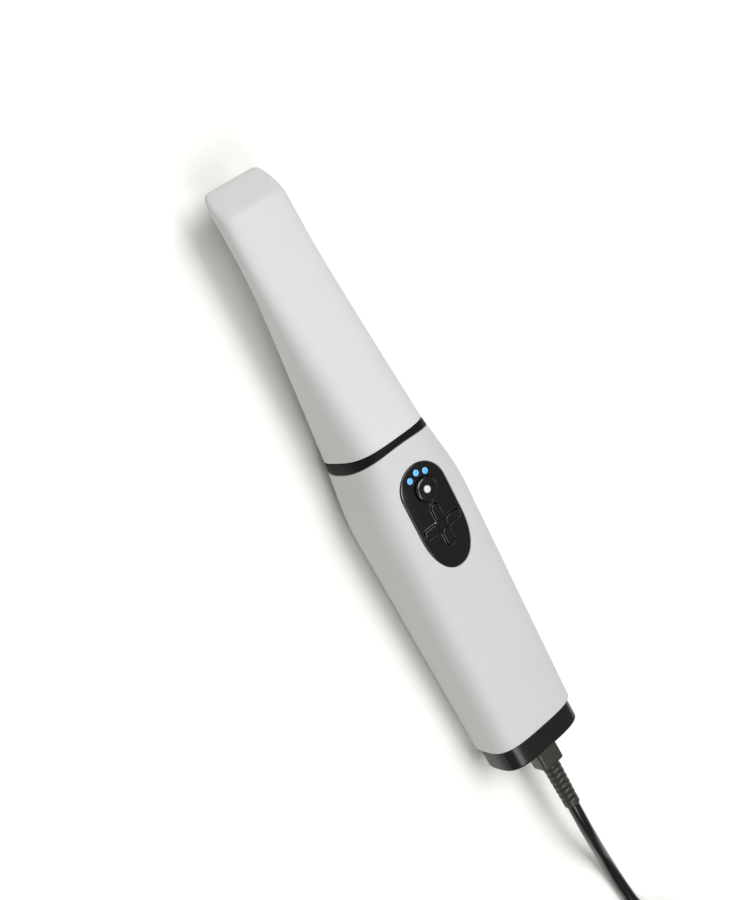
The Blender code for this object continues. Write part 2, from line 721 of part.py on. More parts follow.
def make_optics_snout():
    """Tube that carries the optics into the tip, with a flange behind the collar."""
    flange_front = X_SEAM - SPIGOT_LENGTH - FIT
    flange_rear = flange_front - FLANGE_THICKNESS
    front = X_SEAM + SNOUT_TUBE_LENGTH
    places = [X_SEAM, *spread(X_SEAM + LIP_LENGTH, front - 0.0008, 3)]
    rings = [
        section(X_SEAM, SPIGOT_INSET, at=flange_rear, face_inset=SPIGOT_FACE_INSET),
        section(X_SEAM, SPIGOT_INSET, at=flange_front, face_inset=SPIGOT_FACE_INSET),
        section(X_SEAM, TUBE_INSET, at=flange_front),
    ]
    rings += [section(place, tube_inset(place)) for place in places]
    rings.append(section(front, tube_inset(front) + 0.0008))
    rings.reverse()
    rings.append(section(X_SEAM, TUBE_INSET + SNOUT_TUBE_WALL, at=flange_rear))
    for place in [*places[:-1], front - SNOUT_FRONT_WALL]:
        rings.append(section(place, tube_inset(place) + SNOUT_TUBE_WALL))
    snout = add_part("optics_snout", loft_mesh("optics_snout", rings), BLACK_ANODISED, 0.35)
    opening = rounded_rectangle(
        GLASS_WIDTH + 2 * FIT, GLASS_HEIGHT + 2 * FIT, 0.0010, steps=3, centre=(0.0, OPTICS_AXIS_Z))
    cut(snout, extruded_mesh(
        "snout_window_cutter", opening, front - SNOUT_FRONT_WALL - 0.001, front + 0.001, along="X"))
    x = X_SEAM + CATCH_FROM_SEAM
    half_width = softened(x, WIDTH_KNOTS)
    cut(snout, cylinder_mesh(
        "catch_bore_cutter", CATCH_RADIUS + FIT, -half_width, half_width, "Y",
        (x, catch_height())))
    smooth(snout)
    return snout


def catch_height():
    """Height of the two catches: the middle of the section where they sit."""
    _, low, high, _ = section_values(X_SEAM + CATCH_FROM_SEAM)
    return (low + high) / 2


def make_catch(name, side):
    """Sprung pin with a round head that bears on the inside of the tip."""
    x = X_SEAM + CATCH_FROM_SEAM
    wall = softened(x, WIDTH_KNOTS)
    reach = wall - TIP_WALL - FIT
    seat = wall - tube_inset(x) - SNOUT_TUBE_WALL - FIT
    root = seat - 0.0010
    radius = CATCH_RADIUS
    dome = arc((0.0, reach - radius), radius, 90, 0, 5)
    profile = [*dome, (radius, seat), (radius + 0.0008, seat), (radius + 0.0008, root), (0.0, root)]
    catch = turned(name, profile, STEEL, 0.25, steps=20, metallic=1.0)
    catch.rotation_euler = (math.radians(-90 * side), 0.0, 0.0)
    catch.location = (x, 0.0, catch_height())
    return catch


def make_snout_window():
    """Protective glass in the end of the snout."""
    front = X_SEAM + SNOUT_TUBE_LENGTH
    outline = rounded_rectangle(
        GLASS_WIDTH, GLASS_HEIGHT, 0.0008, steps=3, centre=(0.0, OPTICS_AXIS_Z))
    mesh = extruded_mesh(
        "snout_window", outline, front - SNOUT_FRONT_WALL + FIT,
        front - SNOUT_FRONT_WALL + FIT + GLASS_THICKNESS, along="X")
    return add_part("snout_window", mesh, GLASS, 0.03, transmission=1.0)


def camera_axes():
    """Y of the two camera axes."""
    return (("left", CAMERA_SPACING / 2), ("right", -CAMERA_SPACING / 2))


def make_optics_block():
    """Aluminium block with a bore for each barrel."""
    mesh = box_mesh(
        "optics_block",
        (X_BLOCK_REAR, -BLOCK_WIDTH / 2, BLOCK_BOTTOM),
        (X_BLOCK_FRONT, BLOCK_WIDTH / 2, BLOCK_TOP))
    block = add_part("optics_block", mesh, ALUMINIUM, 0.4, metallic=1.0)
    round_edges(block, 0.0012)
    bores = [(y, CAMERA_RADIUS) for _, y in camera_axes()] + [(0.0, PROJECTOR_RADIUS)]
    bores = [
        cylinder_mesh(
            "bore", radius + FIT, X_BLOCK_REAR - 0.001, X_BLOCK_FRONT + 0.001, "X",
            (y, OPTICS_AXIS_Z), sides=24)
        for y, radius in bores]
    cut(block, joined_mesh("optics_bores_cutter", bores))
    return block


def make_barrel(name, y, radius, hood_radius):
    """Turned barrel in a bore of the block, with a hood ahead of it and a through bore."""
    rear = X_BLOCK_REAR + SENSOR_THICKNESS + 2 * FIT
    front = X_BLOCK_FRONT + BARREL_AHEAD
    length = front - rear
    inner = min(radius, hood_radius) - BARREL_WALL
    profile = [
        (hood_radius, length), (hood_radius, length - HOOD_LENGTH),
        (radius, length - HOOD_LENGTH - 0.0008), (radius, 0.0), (inner, 0.0), (inner, length)]
    barrel = turned(name, profile, BLACK_ANODISED, 0.3, steps=20, metallic=1.0)
    lay_along_x(barrel, rear, y, OPTICS_AXIS_Z)
    return barrel


def make_lens(name, y, radius, hood_radius):
    """Lens near the front end of its barrel."""
    lens_radius = min(radius, hood_radius) - BARREL_WALL - FIT
    half = LENS_THICKNESS / 2
    crown = 0.0004
    profile = [(0.0, half + crown), (lens_radius * 0.6, half + crown * 0.6), (lens_radius, half)]
    profile += [(lens_radius, -half), (lens_radius * 0.6, -half - crown * 0.6), (0.0, -half - crown)]
    lens = turned(name, profile, GLASS, 0.02, steps=20, transmission=1.0)
    lay_along_x(lens, X_BLOCK_FRONT + BARREL_AHEAD - LENS_THICKNESS, y, OPTICS_AXIS_Z)
    return lens


def make_camera_board():
    """Board behind the block."""
    front = X_BLOCK_REAR - FIT
    outline = rounded_rectangle(
        BLOCK_WIDTH - 0.0010, BLOCK_TOP - BLOCK_BOTTOM - 0.0010, 0.0015,
        centre=(0.0, (BLOCK_TOP + BLOCK_BOTTOM) / 2))
    mesh = extruded_mesh("camera_board", outline, front - BOARD_THICKNESS, front, along="X")
    return add_part("camera_board", mesh, BOARD_GREEN, 0.4)


def make_sensors():
    """Image sensors behind the two cameras, and the light source behind the projector."""
    half = SENSOR_SIZE / 2
    for side, y in camera_axes():
        name = "image_sensor_" + side
        mesh = box_mesh(
            name,
            (X_BLOCK_REAR, y - half, OPTICS_AXIS_Z - half),
            (X_BLOCK_REAR + SENSOR_THICKNESS, y + half, OPTICS_AXIS_Z + half))
        add_part(name, mesh, CHIP_BLACK, 0.2)
    half = SENSOR_SIZE * 0.35
    mesh = box_mesh(
        "light_source",
        (X_BLOCK_REAR, -half, OPTICS_AXIS_Z - half),
        (X_BLOCK_REAR + SENSOR_THICKNESS, half, OPTICS_AXIS_Z + half))
    add_part("light_source", mesh, LIGHT_WHITE, 0.3)


def make_body_shell():
    """One-piece moulded tube with the opening for the control panel."""
    rings = [section(X_SHELL, SHELL_EDGE, at=X_SHELL), section(X_SHELL + SHELL_EDGE)]
    for share in (-1.0, -0.33, 0.33, 1.0):
        rings.append(section(X_KINK + KINK_SOFTNESS * share))
    rings += [band_ring(0.0, FIT), band_ring(SHELL_WALL, FIT)]
    for share in (1.0, 0.0, -1.0):
        rings.append(section(X_KINK + KINK_SOFTNESS * share, SHELL_WALL))
    rings.append(section(X_SHELL, SHELL_WALL))
    shell = add_part(
        "body_shell", loft_mesh("body_shell", rings, closed=True), WHITE_SATIN, 0.45)
    cut(shell, extruded_mesh(
        "panel_opening_cutter", panel_outline(PANEL_GAP / 2), KINK_HEIGHT / 2, SEAM_HEIGHT * 1.5))
    smooth(shell)
    return shell


def make_chassis():
    """Channel along the inside of the shell, with four posts for the main board."""
    half = CHASSIS_HALF_WIDTH
    wall = CHASSIS_WALL
    low = CHASSIS_BOTTOM
    high = CHASSIS_BOTTOM + CHASSIS_HEIGHT
    outline = [
        (-half, low), (half, low), (half, high), (half - wall, high),
        (half - wall, low + wall), (wall - half, low + wall), (wall - half, high), (-half, high)]
    chassis = add_part(
        "chassis",
        extruded_mesh("chassis", outline, X_BOARD_REAR, X_BLOCK_FRONT, along="X"),
        ALUMINIUM, 0.45, metallic=1.0)
    posts = [
        cylinder_mesh("post", POST_RADIUS, low + wall / 2, high, "Z", place, sides=16)
        for place in post_places()]
    cut(chassis, joined_mesh("chassis_posts", posts), "UNION")
    bores = [
        cylinder_mesh("bore", SCREW_RADIUS + FIT, low + wall, high + 0.001, "Z", place, sides=12)
        for place in post_places()]
    cut(chassis, joined_mesh("chassis_bores_cutter", bores))
    return chassis


def post_places():
    """X and Y of the four screws of the main board."""
    places = []
    for x in (X_BOARD_REAR + POST_INSET, X_BOARD_FRONT - POST_INSET):
        places += [(x, POST_SPREAD), (x, -POST_SPREAD)]
    return places


def make_main_board():
    """Main board on the channel, with its chips and screws."""
    middle = (X_BOARD_REAR + X_BOARD_FRONT) / 2
    length = X_BOARD_FRONT - X_BOARD_REAR
    outline = rounded_rectangle(length, MAIN_BOARD_WIDTH, 0.003, centre=(middle, 0.0))
    board = add_part(
        "main_board", extruded_mesh("main_board", outline, BOARD_BOTTOM, BOARD_TOP),
        BOARD_GREEN, 0.4)
    holes = [
        cylinder_mesh(
            "hole", SCREW_RADIUS + FIT, BOARD_BOTTOM - 0.001, BOARD_TOP + 0.001, "Z", place, sides=12)
        for place in post_places()]
    cut(board, joined_mesh("main_board_holes_cutter", holes))
    x = X_BOARD_REAR + length * PROCESSOR_SHARE
    half = PROCESSOR_SIZE / 2
    chip_low = BOARD_TOP + FIT
    processor = box_mesh(
        "processor", (x - half, -half, chip_low), (x + half, half, chip_low + PROCESSOR_THICKNESS))
    add_part("processor", processor, CHIP_BLACK, 0.3)
    rear = x + half + MEMORY_GAP
    for number, side in enumerate((1, -1), 1):
        y = side * MEMORY_WIDTH * 0.7
        name = "memory_chip_%d" % number
        mesh = box_mesh(
            name,
            (rear, y - MEMORY_WIDTH / 2, chip_low),
            (rear + MEMORY_LENGTH, y + MEMORY_WIDTH / 2, chip_low + MEMORY_THICKNESS))
        add_part(name, mesh, CHIP_BLACK, 0.3)
    make_heat_sink(x, chip_low + PROCESSOR_THICKNESS + FIT)
    for number, place in enumerate(post_places(), 1):
        make_screw("board_screw_%d" % number, place)


def make_screw(name, place):
    """Pan-head screw, head down on the main board, with a round recess in its head."""
    high = SCREW_HEAD_HEIGHT
    recess = SCREW_HEAD_RADIUS * 0.35
    profile = [
        (SCREW_HEAD_RADIUS * 0.7, high), (SCREW_HEAD_RADIUS, high * 0.6), (SCREW_HEAD_RADIUS, 0.0),
        (SCREW_RADIUS, 0.0), (SCREW_RADIUS, high - SCREW_LENGTH), (0.0, high - SCREW_LENGTH),
        (0.0, high * 0.5), (recess, high * 0.5), (recess, high)]
    screw = turned(name, profile, STEEL, 0.3, steps=10, metallic=1.0)
    screw.location = (*place, BOARD_TOP + FIT)


def make_heat_sink(x, low):
    """Finned block on the processor: a comb outline, extruded along X."""
    half = SINK_WIDTH / 2
    outline = [(-half, low), (half, low)]
    high = low + SINK_HEIGHT
    root = low + SINK_BASE
    pitch = (SINK_WIDTH - SINK_FIN) / (SINK_FINS - 1)
    for index in reversed(range(SINK_FINS)):
        left = -half + index * pitch
        right = left + SINK_FIN
        if index < SINK_FINS - 1:
            outline.append((right, root))
        outline += [(right, high), (left, high)]
        if index > 0:
            outline.append((left, root))
    mesh = extruded_mesh("heat_sink", outline, x - SINK_LENGTH / 2, x + SINK_LENGTH / 2, along="X")
    add_part("heat_sink", mesh, ALUMINIUM, 0.4, metallic=1.0)


def ribbon(name, route):
    """Flat cable: a thin band along a route of (x, z) points, as wide as FLEX_WIDTH."""
    half = FLEX_THICKNESS / 2
    upper = []
    lower = []
    for index, (x, z) in enumerate(route):
        before = route[max(index - 1, 0)]
        after = route[min(index + 1, len(route) - 1)]
        run = Vector((after[0] - before[0], after[1] - before[1])).normalized()
        upper.append((x - run.y * half, z + run.x * half))
        lower.append((x + run.y * half, z - run.x * half))
    outline = upper + lower[::-1]
    mesh = extruded_mesh(name, outline, -FLEX_WIDTH / 2, FLEX_WIDTH / 2, along="Y")
    return add_part(name, mesh, FLEX_AMBER, 0.4)


def make_flexes():
    """Flat cables from the main board to the camera board and to the key board."""
    low = BOARD_TOP + FIT + FLEX_THICKNESS / 2
    rear = X_BLOCK_REAR - FIT - BOARD_THICKNESS - FIT - FLEX_THICKNESS / 2
    bend = 0.0020
    route = [(rear, OPTICS_AXIS_Z), (rear, low + bend)]
    route += arc((rear - bend, low + bend), bend, 0, -90, 4)[1:]
    route.append((X_BOARD_FRONT - FLEX_LANDING, low))
    ribbon("sensor_flex", route)
    x = X_PANEL_REAR + 0.0010
    top = key_plane(x) - FIT - FLEX_THICKNESS
    bend = 0.0030
    route = [(x + 0.006, key_plane(x + 0.006) - BOARD_THICKNESS - FIT - FLEX_THICKNESS)]
    route += [(x + 0.002, top - BOARD_THICKNESS)]
    route += arc((x, top - BOARD_THICKNESS - bend), bend, 90, 180, 5)
    route += arc((x - 2 * bend, low + bend), bend, 0, -90, 5)
    ribbon("key_flex", route)


def key_slope():
    """Slope of the panel along X."""
    rise = surface_height(X_BUTTON, 0.0) - surface_height(X_CROSS, 0.0)
    return rise / CROSS_FROM_BUTTON


def key_plane(x):
    """Height of the top of the key board at x."""
    return surface_height(X_CROSS, 0.0) + key_slope() * (x - X_CROSS) - KEY_BOARD_DEPTH


def switch_stop(x, travel):
    """Lowest height of a key at rest above its switch, so that it clears it when pressed."""
    return key_plane(x) + FIT + SWITCH_THICKNESS + SWITCH_SLACK + travel


def pad_mesh(name, outline_at, levels):
    """Solid that follows the crowned outer surface.

    Each level is (grow, height): the outline grown by so much, at that height above the surface.
    """
    rings = []
    for grow, height in levels:
        ring = [Vector((x, y, surface_height(x, y) + height)) for x, y in outline_at(grow)]
        rings.append(ring)
    return loft_mesh(name, rings)


def panel_rings(grow, shares):
    """Panel outline drawn in towards its own middle line, for the crowned faces."""
    outline = panel_outline(grow)
    rings = []
    for share in shares:
        ring = []
        for x, y in outline:
            middle = min(max(x, X_PANEL_LOWER - 0.010), X_BUTTON)
            ring.append((middle + (x - middle) * share, y * share))
        rings.append(ring)
    return rings


def make_control_panel():
    """Glossy panel, crowned with the shell, with a hidden flange and three board bosses."""
    levels = []
    shares = (0.12, 0.45, 0.78)
    under_shares = (0.12, 0.60)
    under = -PANEL_THICKNESS
    ledge = -(SHELL_WALL + FIT) * 1.12
    edge = -PANEL_GAP / 2
    for ring in panel_rings(FLANGE_WIDTH, under_shares):
        levels.append((ring, under))
    levels += [
        (panel_outline(FLANGE_WIDTH), under), (panel_outline(FLANGE_WIDTH), ledge),
        (panel_outline(edge), ledge), (panel_outline(edge), -PANEL_EDGE),
        (panel_outline(edge - PANEL_EDGE), 0.0)]
    for ring in reversed(panel_rings(edge - PANEL_EDGE, shares)):
        levels.append((ring, 0.0))
    rings = [
        [Vector((x, y, surface_height(x, y) + height)) for x, y in ring]
        for ring, height in levels]
    panel = add_part("control_panel", loft_mesh("control_panel", rings), GLOSS_BLACK, 0.10)
    bosses = []
    for x, y in boss_places():
        bottom = key_plane(x) + FIT
        top = surface_height(x, y) - PANEL_THICKNESS + 0.0008
        bosses.append(cylinder_mesh("boss", BOSS_RADIUS, bottom, top, "Z", (x, y), sides=12))
    cut(panel, joined_mesh("panel_bosses", bosses), "UNION")
    low = KINK_HEIGHT / 2
    high = SEAM_HEIGHT * 1.5
    holes = [cylinder_mesh(
        "button_hole", BUTTON_RADIUS + BUTTON_GAP, low, high, "Z", (X_BUTTON, 0.0), sides=32)]
    holes.append(extruded_mesh("cross_slot", cross_outline(), low, high))
    for x, y in light_places():
        holes.append(cylinder_mesh(
            "light_hole", LIGHT_RADIUS + LIGHT_GAP, low, high, "Z", (x, y), sides=16))
    cut(panel, joined_mesh("panel_holes_cutter", holes))
    smooth(panel)
    return panel


def boss_places():
    """X and Y of the bosses that hold the key board."""
    x = (X_BUTTON + X_CROSS) / 2
    return ((x, BOSS_SPREAD), (x, -BOSS_SPREAD), (X_PANEL_REAR + 0.0050, 0.0))


def light_places():
    """X and Y of the three status lights, on an arc round the button."""
    places = []
    for step in (1, 0, -1):
        angle = math.radians(LIGHT_STEP * step)
        places.append((
            X_BUTTON + LIGHT_RING_RADIUS * math.cos(angle), LIGHT_RING_RADIUS * math.sin(angle)))
    return places


def make_status_lights():
    """Three small lenses in the panel."""
    for number, (x, y) in enumerate(light_places(), 1):
        height = surface_height(x, y)
        profile = [
            (0.0, 0.0001), (LIGHT_RADIUS * 0.7, 0.00005), (LIGHT_RADIUS, -0.0001),
            (LIGHT_RADIUS, -PANEL_THICKNESS - 0.0004), (0.0, -PANEL_THICKNESS - 0.0004)]
        light = turned(
            "status_light_%d" % number, profile, LIGHT_BLUE, 0.25, steps=16, emission=0.6)
        light.location = (x, y, height)


def make_scan_button():
    """Round button with a raised rim and a dished top, and the light in its middle."""
    height = surface_height(X_BUTTON, 0.0)
    flange = -PANEL_THICKNESS - FIT - BUTTON_SEAT
    stop = switch_stop(X_BUTTON, BUTTON_TRAVEL) - height
    light_hole = BUTTON_LIGHT_RADIUS + FIT
    floor = BUTTON_PROUD - BUTTON_DISH
    profile = [
        (BUTTON_RADIUS - BUTTON_RIM, BUTTON_PROUD),
        (BUTTON_RADIUS - BUTTON_RIM * 0.3, BUTTON_PROUD - 0.0001),
        (BUTTON_RADIUS, BUTTON_PROUD - 0.0005),
        (BUTTON_RADIUS, flange), (BUTTON_RADIUS + BUTTON_FLANGE, flange),
        (BUTTON_RADIUS + BUTTON_FLANGE, stop), (0.0, stop), (0.0, floor - 0.0012),
        (light_hole, floor - 0.0012),
        (light_hole, floor), (BUTTON_RADIUS * 0.55, floor + 0.00003),
        (BUTTON_RADIUS - BUTTON_RIM * 1.6, floor + 0.0002)]
    button = turned("scan_button", profile, GLOSS_BLACK, 0.12, steps=32)
    button.location = (X_BUTTON, 0.0, height)
    radius = BUTTON_LIGHT_RADIUS
    low = floor - 0.0012 + FIT
    profile = [
        (0.0, floor + 0.0002), (radius * 0.7, floor + 0.00015), (radius, floor), (radius, low), (0.0, low)]
    light = turned("button_light", profile, LIGHT_WHITE, 0.3, steps=20, emission=0.4)
    light.location = (X_BUTTON, 0.0, height)
    moving_frame("scan_button_slide", (X_BUTTON, 0.0, height), [button, light])


def key_outline(quarter, grow=0.0):
    """Outline of one key of the cross, turned by a quarter turn for each step."""
    start = KEY_START - grow
    end = CROSS_REACH - KEY_GAP + grow
    width = 2 * (CROSS_HALF_WIDTH - KEY_GAP + grow)
    local = rounded_rectangle(
        end - start, width, min(KEY_CORNER + grow * 0.5, width * 0.48), steps=4,
        centre=((start + end) / 2, 0.0))
    turn = Matrix.Rotation(math.radians(90 * quarter), 2)
    points = []
    for point in local:
        turned_point = turn @ Vector(point)
        points.append((X_CROSS + turned_point.x, turned_point.y))
    return points


def make_key(name, quarter):
    """Raised key with sloped sides, a hidden flange under the panel and a stem."""
    flange = -PANEL_THICKNESS - FIT
    levels = (
        (KEY_FLANGE, flange - 0.0005), (KEY_FLANGE, flange), (0.0, flange), (0.0, 0.0),
        (-KEY_EDGE * 0.35, KEY_PROUD - KEY_EDGE * 0.35), (-KEY_EDGE, KEY_PROUD))
    mesh = pad_mesh(name, lambda grow: key_outline(quarter, grow), levels)
    key = add_part(name, mesh, GLOSS_BLACK, 0.12)
    x, y = key_middle(quarter)
    height = surface_height(x, y)
    stem = cylinder_mesh(
        name + "_stem", STEM_RADIUS, switch_stop(x, KEY_TRAVEL), height + flange - 0.0003, "Z",
        (x, y), sides=12)
    cut(key, stem, "UNION")
    smooth(key)
    moving_frame(name + "_slide", (x, y, height), [key])
    return key


def key_middle(quarter):
    """X and Y of the middle of a key."""
    reach = (KEY_START + CROSS_REACH - KEY_GAP) / 2
    angle = math.radians(90 * quarter)
    return X_CROSS + reach * math.cos(angle), reach * math.sin(angle)


def tilted(mesh):
    """Move a mesh drawn about height zero up to the plane of the key board, tilted with it."""
    for vertex in mesh.vertices:
        vertex.co.z += key_plane(vertex.co.x)
    return mesh


def make_key_board():
    """Board under the panel, a sheet with five switch domes, and a strip with three lamps."""
    outline = panel_outline(-0.0012)
    mesh = tilted(extruded_mesh("key_board", outline, -BOARD_THICKNESS, 0.0))
    add_part("key_board", mesh, BOARD_GREEN, 0.4)
    places = [(X_BUTTON, 0.0)] + [key_middle(quarter) for quarter in range(4)]
    rear = min(x for x, _ in places) - SHEET_MARGIN
    front = max(x for x, _ in places) + SHEET_MARGIN
    half_width = max(y for _, y in places) + SHEET_MARGIN
    outline = rounded_rectangle(
        front - rear, 2 * half_width, 0.002, centre=((front + rear) / 2, 0.0))
    sheet = add_part(
        "key_switches", tilted(extruded_mesh("key_switches", outline, FIT, FIT + SHEET_THICKNESS)),
        STEEL, 0.35, metallic=1.0)
    domes = [
        cylinder_mesh(
            "dome", SWITCH_SIZE / 2, FIT + SHEET_THICKNESS / 2, FIT + SWITCH_THICKNESS, "Z", place, 16)
        for place in places]
    cut(sheet, tilted(joined_mesh("switch_domes", domes)), "UNION")
    places = light_places()
    rear = min(x for x, _ in places) - LAMP_MARGIN
    front = max(x for x, _ in places) + LAMP_MARGIN
    half_width = max(y for _, y in places) + LAMP_MARGIN
    strip = box_mesh(
        "indicator_lamps", (rear, -half_width, FIT), (front, half_width, FIT + SHEET_THICKNESS))
    strip = add_part("indicator_lamps", tilted(strip), LIGHT_WHITE, 0.4)
    half = LAMP_SIZE / 2
    lamps = [
        box_mesh(
            "lamp", (x - half, y - half, FIT + SHEET_THICKNESS / 2),
            (x + half, y + half, FIT + LAMP_THICKNESS))
        for x, y in places]
    cut(strip, tilted(joined_mesh("lamp_chips", lamps)), "UNION")


def make_rear_cap():
    """End cap with a raised rim round a recessed end, a spigot in the shell and the plug port."""
    inner = SPIGOT_INSET + CAP_SPIGOT_WALL
    joint = X_SHELL - FIT
    tip = X_SHELL + CAP_SPIGOT_LENGTH
    rings = [
        section(X_SHELL, inner, at=X_CAP_FLOOR + CAP_FLOOR),
        section(X_SHELL, inner, at=tip),
        section(X_SHELL, SPIGOT_INSET, at=tip),
        section(X_SHELL, SPIGOT_INSET, at=joint),
        section(X_SHELL, CAP_INSET, at=joint),
        section(X_SHELL, CAP_INSET, at=X_REAR + CAP_ROUND),
        section(X_SHELL, CAP_INSET + CAP_ROUND * 0.3, at=X_REAR + CAP_ROUND * 0.3),
        section(X_SHELL, CAP_INSET + CAP_ROUND, at=X_REAR),
        section(X_SHELL, CAP_INSET + CAP_ROUND + CAP_RIM, at=X_REAR),
        section(X_SHELL, CAP_INSET + CAP_ROUND + CAP_RIM, at=X_CAP_FLOOR),
    ]
    cap = add_part("rear_cap", loft_mesh("rear_cap", rings), GLOSS_BLACK, 0.14)
    port = rounded_rectangle(
        SOCKET_WIDTH + 2 * FIT, SOCKET_HEIGHT + 2 * FIT, SOCKET_HEIGHT / 2, centre=(0.0, PLUG_Z))
    cut(cap, extruded_mesh(
        "plug_port_cutter", port, X_CAP_FLOOR - 0.001, X_CAP_FLOOR + CAP_FLOOR + 0.001, along="X"))
    smooth(cap)
    return cap


def stadium(width, height):
    """Outline of a flat connector shell, round at both ends."""
    return rounded_rectangle(width, height, height * 0.48, centre=(0.0, PLUG_Z))


def make_socket():
    """Connector in the port, with its tongue, on the board that closes the cap's spigot."""
    front = X_CAP_FLOOR + FIT
    rear = front + SOCKET_LENGTH
    socket = add_part(
        "cable_socket",
        extruded_mesh("cable_socket", stadium(SOCKET_WIDTH, SOCKET_HEIGHT), front, rear, along="X"),
        STEEL, 0.3, metallic=1.0)
    cavity = stadium(SOCKET_WIDTH - 2 * SOCKET_WALL, SOCKET_HEIGHT - 2 * SOCKET_WALL)
    cut(socket, extruded_mesh("socket_cavity_cutter", cavity, front - 0.001, rear - 0.0010, along="X"))
    tongue = box_mesh(
        "socket_tongue",
        (front + 0.0008, -SOCKET_WIDTH * 0.34, PLUG_Z - TONGUE_THICKNESS / 2),
        (rear - 0.0006, SOCKET_WIDTH * 0.34, PLUG_Z + TONGUE_THICKNESS / 2))
    cut(socket, tongue, "UNION")
    inset = SPIGOT_INSET + CAP_SPIGOT_WALL + FIT
    rings = [
        section(X_SHELL, inset, at=rear + FIT),
        section(X_SHELL, inset, at=rear + FIT + BOARD_THICKNESS)]
    add_part("socket_board", loft_mesh("socket_board", rings), BOARD_GREEN, 0.4)


def make_plug():
    """Plug block in the recess of the cap, its metal shell, white dot and ribbed strain relief."""
    front = X_CAP_FLOOR - FIT
    outline = rounded_rectangle(PLUG_WIDTH, PLUG_HEIGHT, PLUG_CORNER, steps=5, centre=(0.0, PLUG_Z))
    plug = add_part(
        "cable_plug", extruded_mesh("cable_plug", outline, X_PLUG_END, front, along="X"),
        SOFT_BLACK, 0.35)
    round_edges(plug, PLUG_EDGE)
    smooth(plug)
    width = SOCKET_WIDTH - 2 * SOCKET_WALL - 2 * FIT
    height = SOCKET_HEIGHT - 2 * SOCKET_WALL - 2 * FIT
    start = front + FIT
    end = start + PLUG_SHELL_LENGTH
    shell = add_part(
        "plug_shell", extruded_mesh("plug_shell", stadium(width, height), start, end, along="X"),
        STEEL, 0.25, metallic=1.0)
    hollow = stadium(width - 0.0007, height - 0.0007)
    cut(shell, extruded_mesh("plug_shell_cutter", hollow, start + 0.0005, end + 0.001, along="X"))
    top = PLUG_Z + PLUG_HEIGHT / 2
    dot = add_part(
        "plug_dot",
        cylinder_mesh("plug_dot", DOT_RADIUS, top + FIT - 0.0004, top + 0.00015, "Z", (dot_x(), 0.0)),
        LIGHT_WHITE, 0.4)
    cut(plug, cylinder_mesh(
        "plug_dot_cutter", DOT_RADIUS + FIT, top - 0.0004, top + 0.001, "Z", (dot_x(), 0.0)))
    relief = make_strain_relief()
    moving_frame("plug_slide", (X_REAR, 0.0, PLUG_Z), [plug, shell, dot, relief])


def dot_x():
    """X of the alignment dot, just outside the rim of the cap."""
    return X_REAR - DOT_RADIUS - 0.0006


def make_strain_relief():
    """Tapered sleeve with ribs, turned about the cord's axis."""
    pitch = (RELIEF_LENGTH - 2 * RELIEF_NECK) / RELIEF_RIBS
    profile = [(0.0, RELIEF_LENGTH), (RELIEF_END, RELIEF_LENGTH)]
    for index in reversed(range(RELIEF_RIBS)):
        share = (index + 0.5) / RELIEF_RIBS
        radius = RELIEF_ROOT + (RELIEF_END - RELIEF_ROOT) * share
        start = RELIEF_NECK + index * pitch
        if index < RELIEF_RIBS - 1:
            profile.append((radius, start + pitch * 0.78))
        else:
            profile.append((radius, RELIEF_LENGTH - 0.0003))
        profile += [(radius, start + pitch * 0.22), (RELIEF_GROOVE, start + pitch * 0.16)]
        profile.append((RELIEF_GROOVE, start - pitch * 0.16))
    profile += [(RELIEF_ROOT, RELIEF_NECK * 0.4), (RELIEF_ROOT, 0.0), (0.0, 0.0)]
    relief = turned("strain_relief", profile, SOFT_BLACK, 0.5, steps=16)
    relief.rotation_euler = (0.0, math.radians(-90), 0.0)
    relief.location = (X_PLUG_END - FIT, 0.0, PLUG_Z)
    return relief


def smooth_route(points, step):
    """Points about a step apart on a Catmull-Rom curve through the route's own points."""
    points = [Vector(point) for point in points]
    padded = [2 * points[0] - points[1], *points, 2 * points[-1] - points[-2]]
    result = [points[0]]
    for index in range(1, len(padded) - 2):
        p0, p1, p2, p3 = padded[index - 1:index + 3]
        count = max(1, round((p2 - p1).length / step))
        for part in range(1, count + 1):
            t = part / count
            result.append(0.5 * (
                2 * p1 + (p2 - p0) * t + (2 * p0 - 5 * p1 + 4 * p2 - p3) * t ** 2
                + (3 * p1 - p0 - 3 * p2 + p3) * t ** 3))
    return result


def cord_tube(name, route):
    """Plain round tube along a route, as a bevelled curve with filled caps."""
    curve = bpy.data.curves.new(name, "CURVE")
    curve.dimensions = "3D"
    curve.bevel_depth = CORD_RADIUS
    curve.bevel_resolution = 2
    curve.use_fill_caps = True
    curve.resolution_u = 1
    points = smooth_route(route, 2.5 * 2 * CORD_RADIUS)
    spline = curve.splines.new("POLY")
    spline.points.add(len(points) - 1)
    for point, place in zip(spline.points, points):
        point.co = (*place, 1.0)
    item = bpy.data.objects.new(name, curve)
    curve.materials.append(material(name + "_finish", SOFT_BLACK, 0.45))
    PARTS.objects.link(item)
    return item


def hank_values():
    """Inner and outer fold radius, lowest and highest height of the hank's solid."""
    half = HANK_ROWS * TURN_PITCH / 2
    low = TIE_THICKNESS + FIT
    return HANK_FOLD - half, HANK_FOLD + half, low, low + HANK_LAYERS * TURN_PITCH


def hank_ring(radius, height, steps=12):
    """Ring round the hank: two straight runs and two round folds."""
    rear = HANK_X - HANK_RUN
    outline = arc((HANK_X, HANK_Y), radius, -90, 90, steps)
    outline += arc((rear, HANK_Y), radius, 90, 270, steps)
    return [Vector((x, y, height)) for x, y in outline]


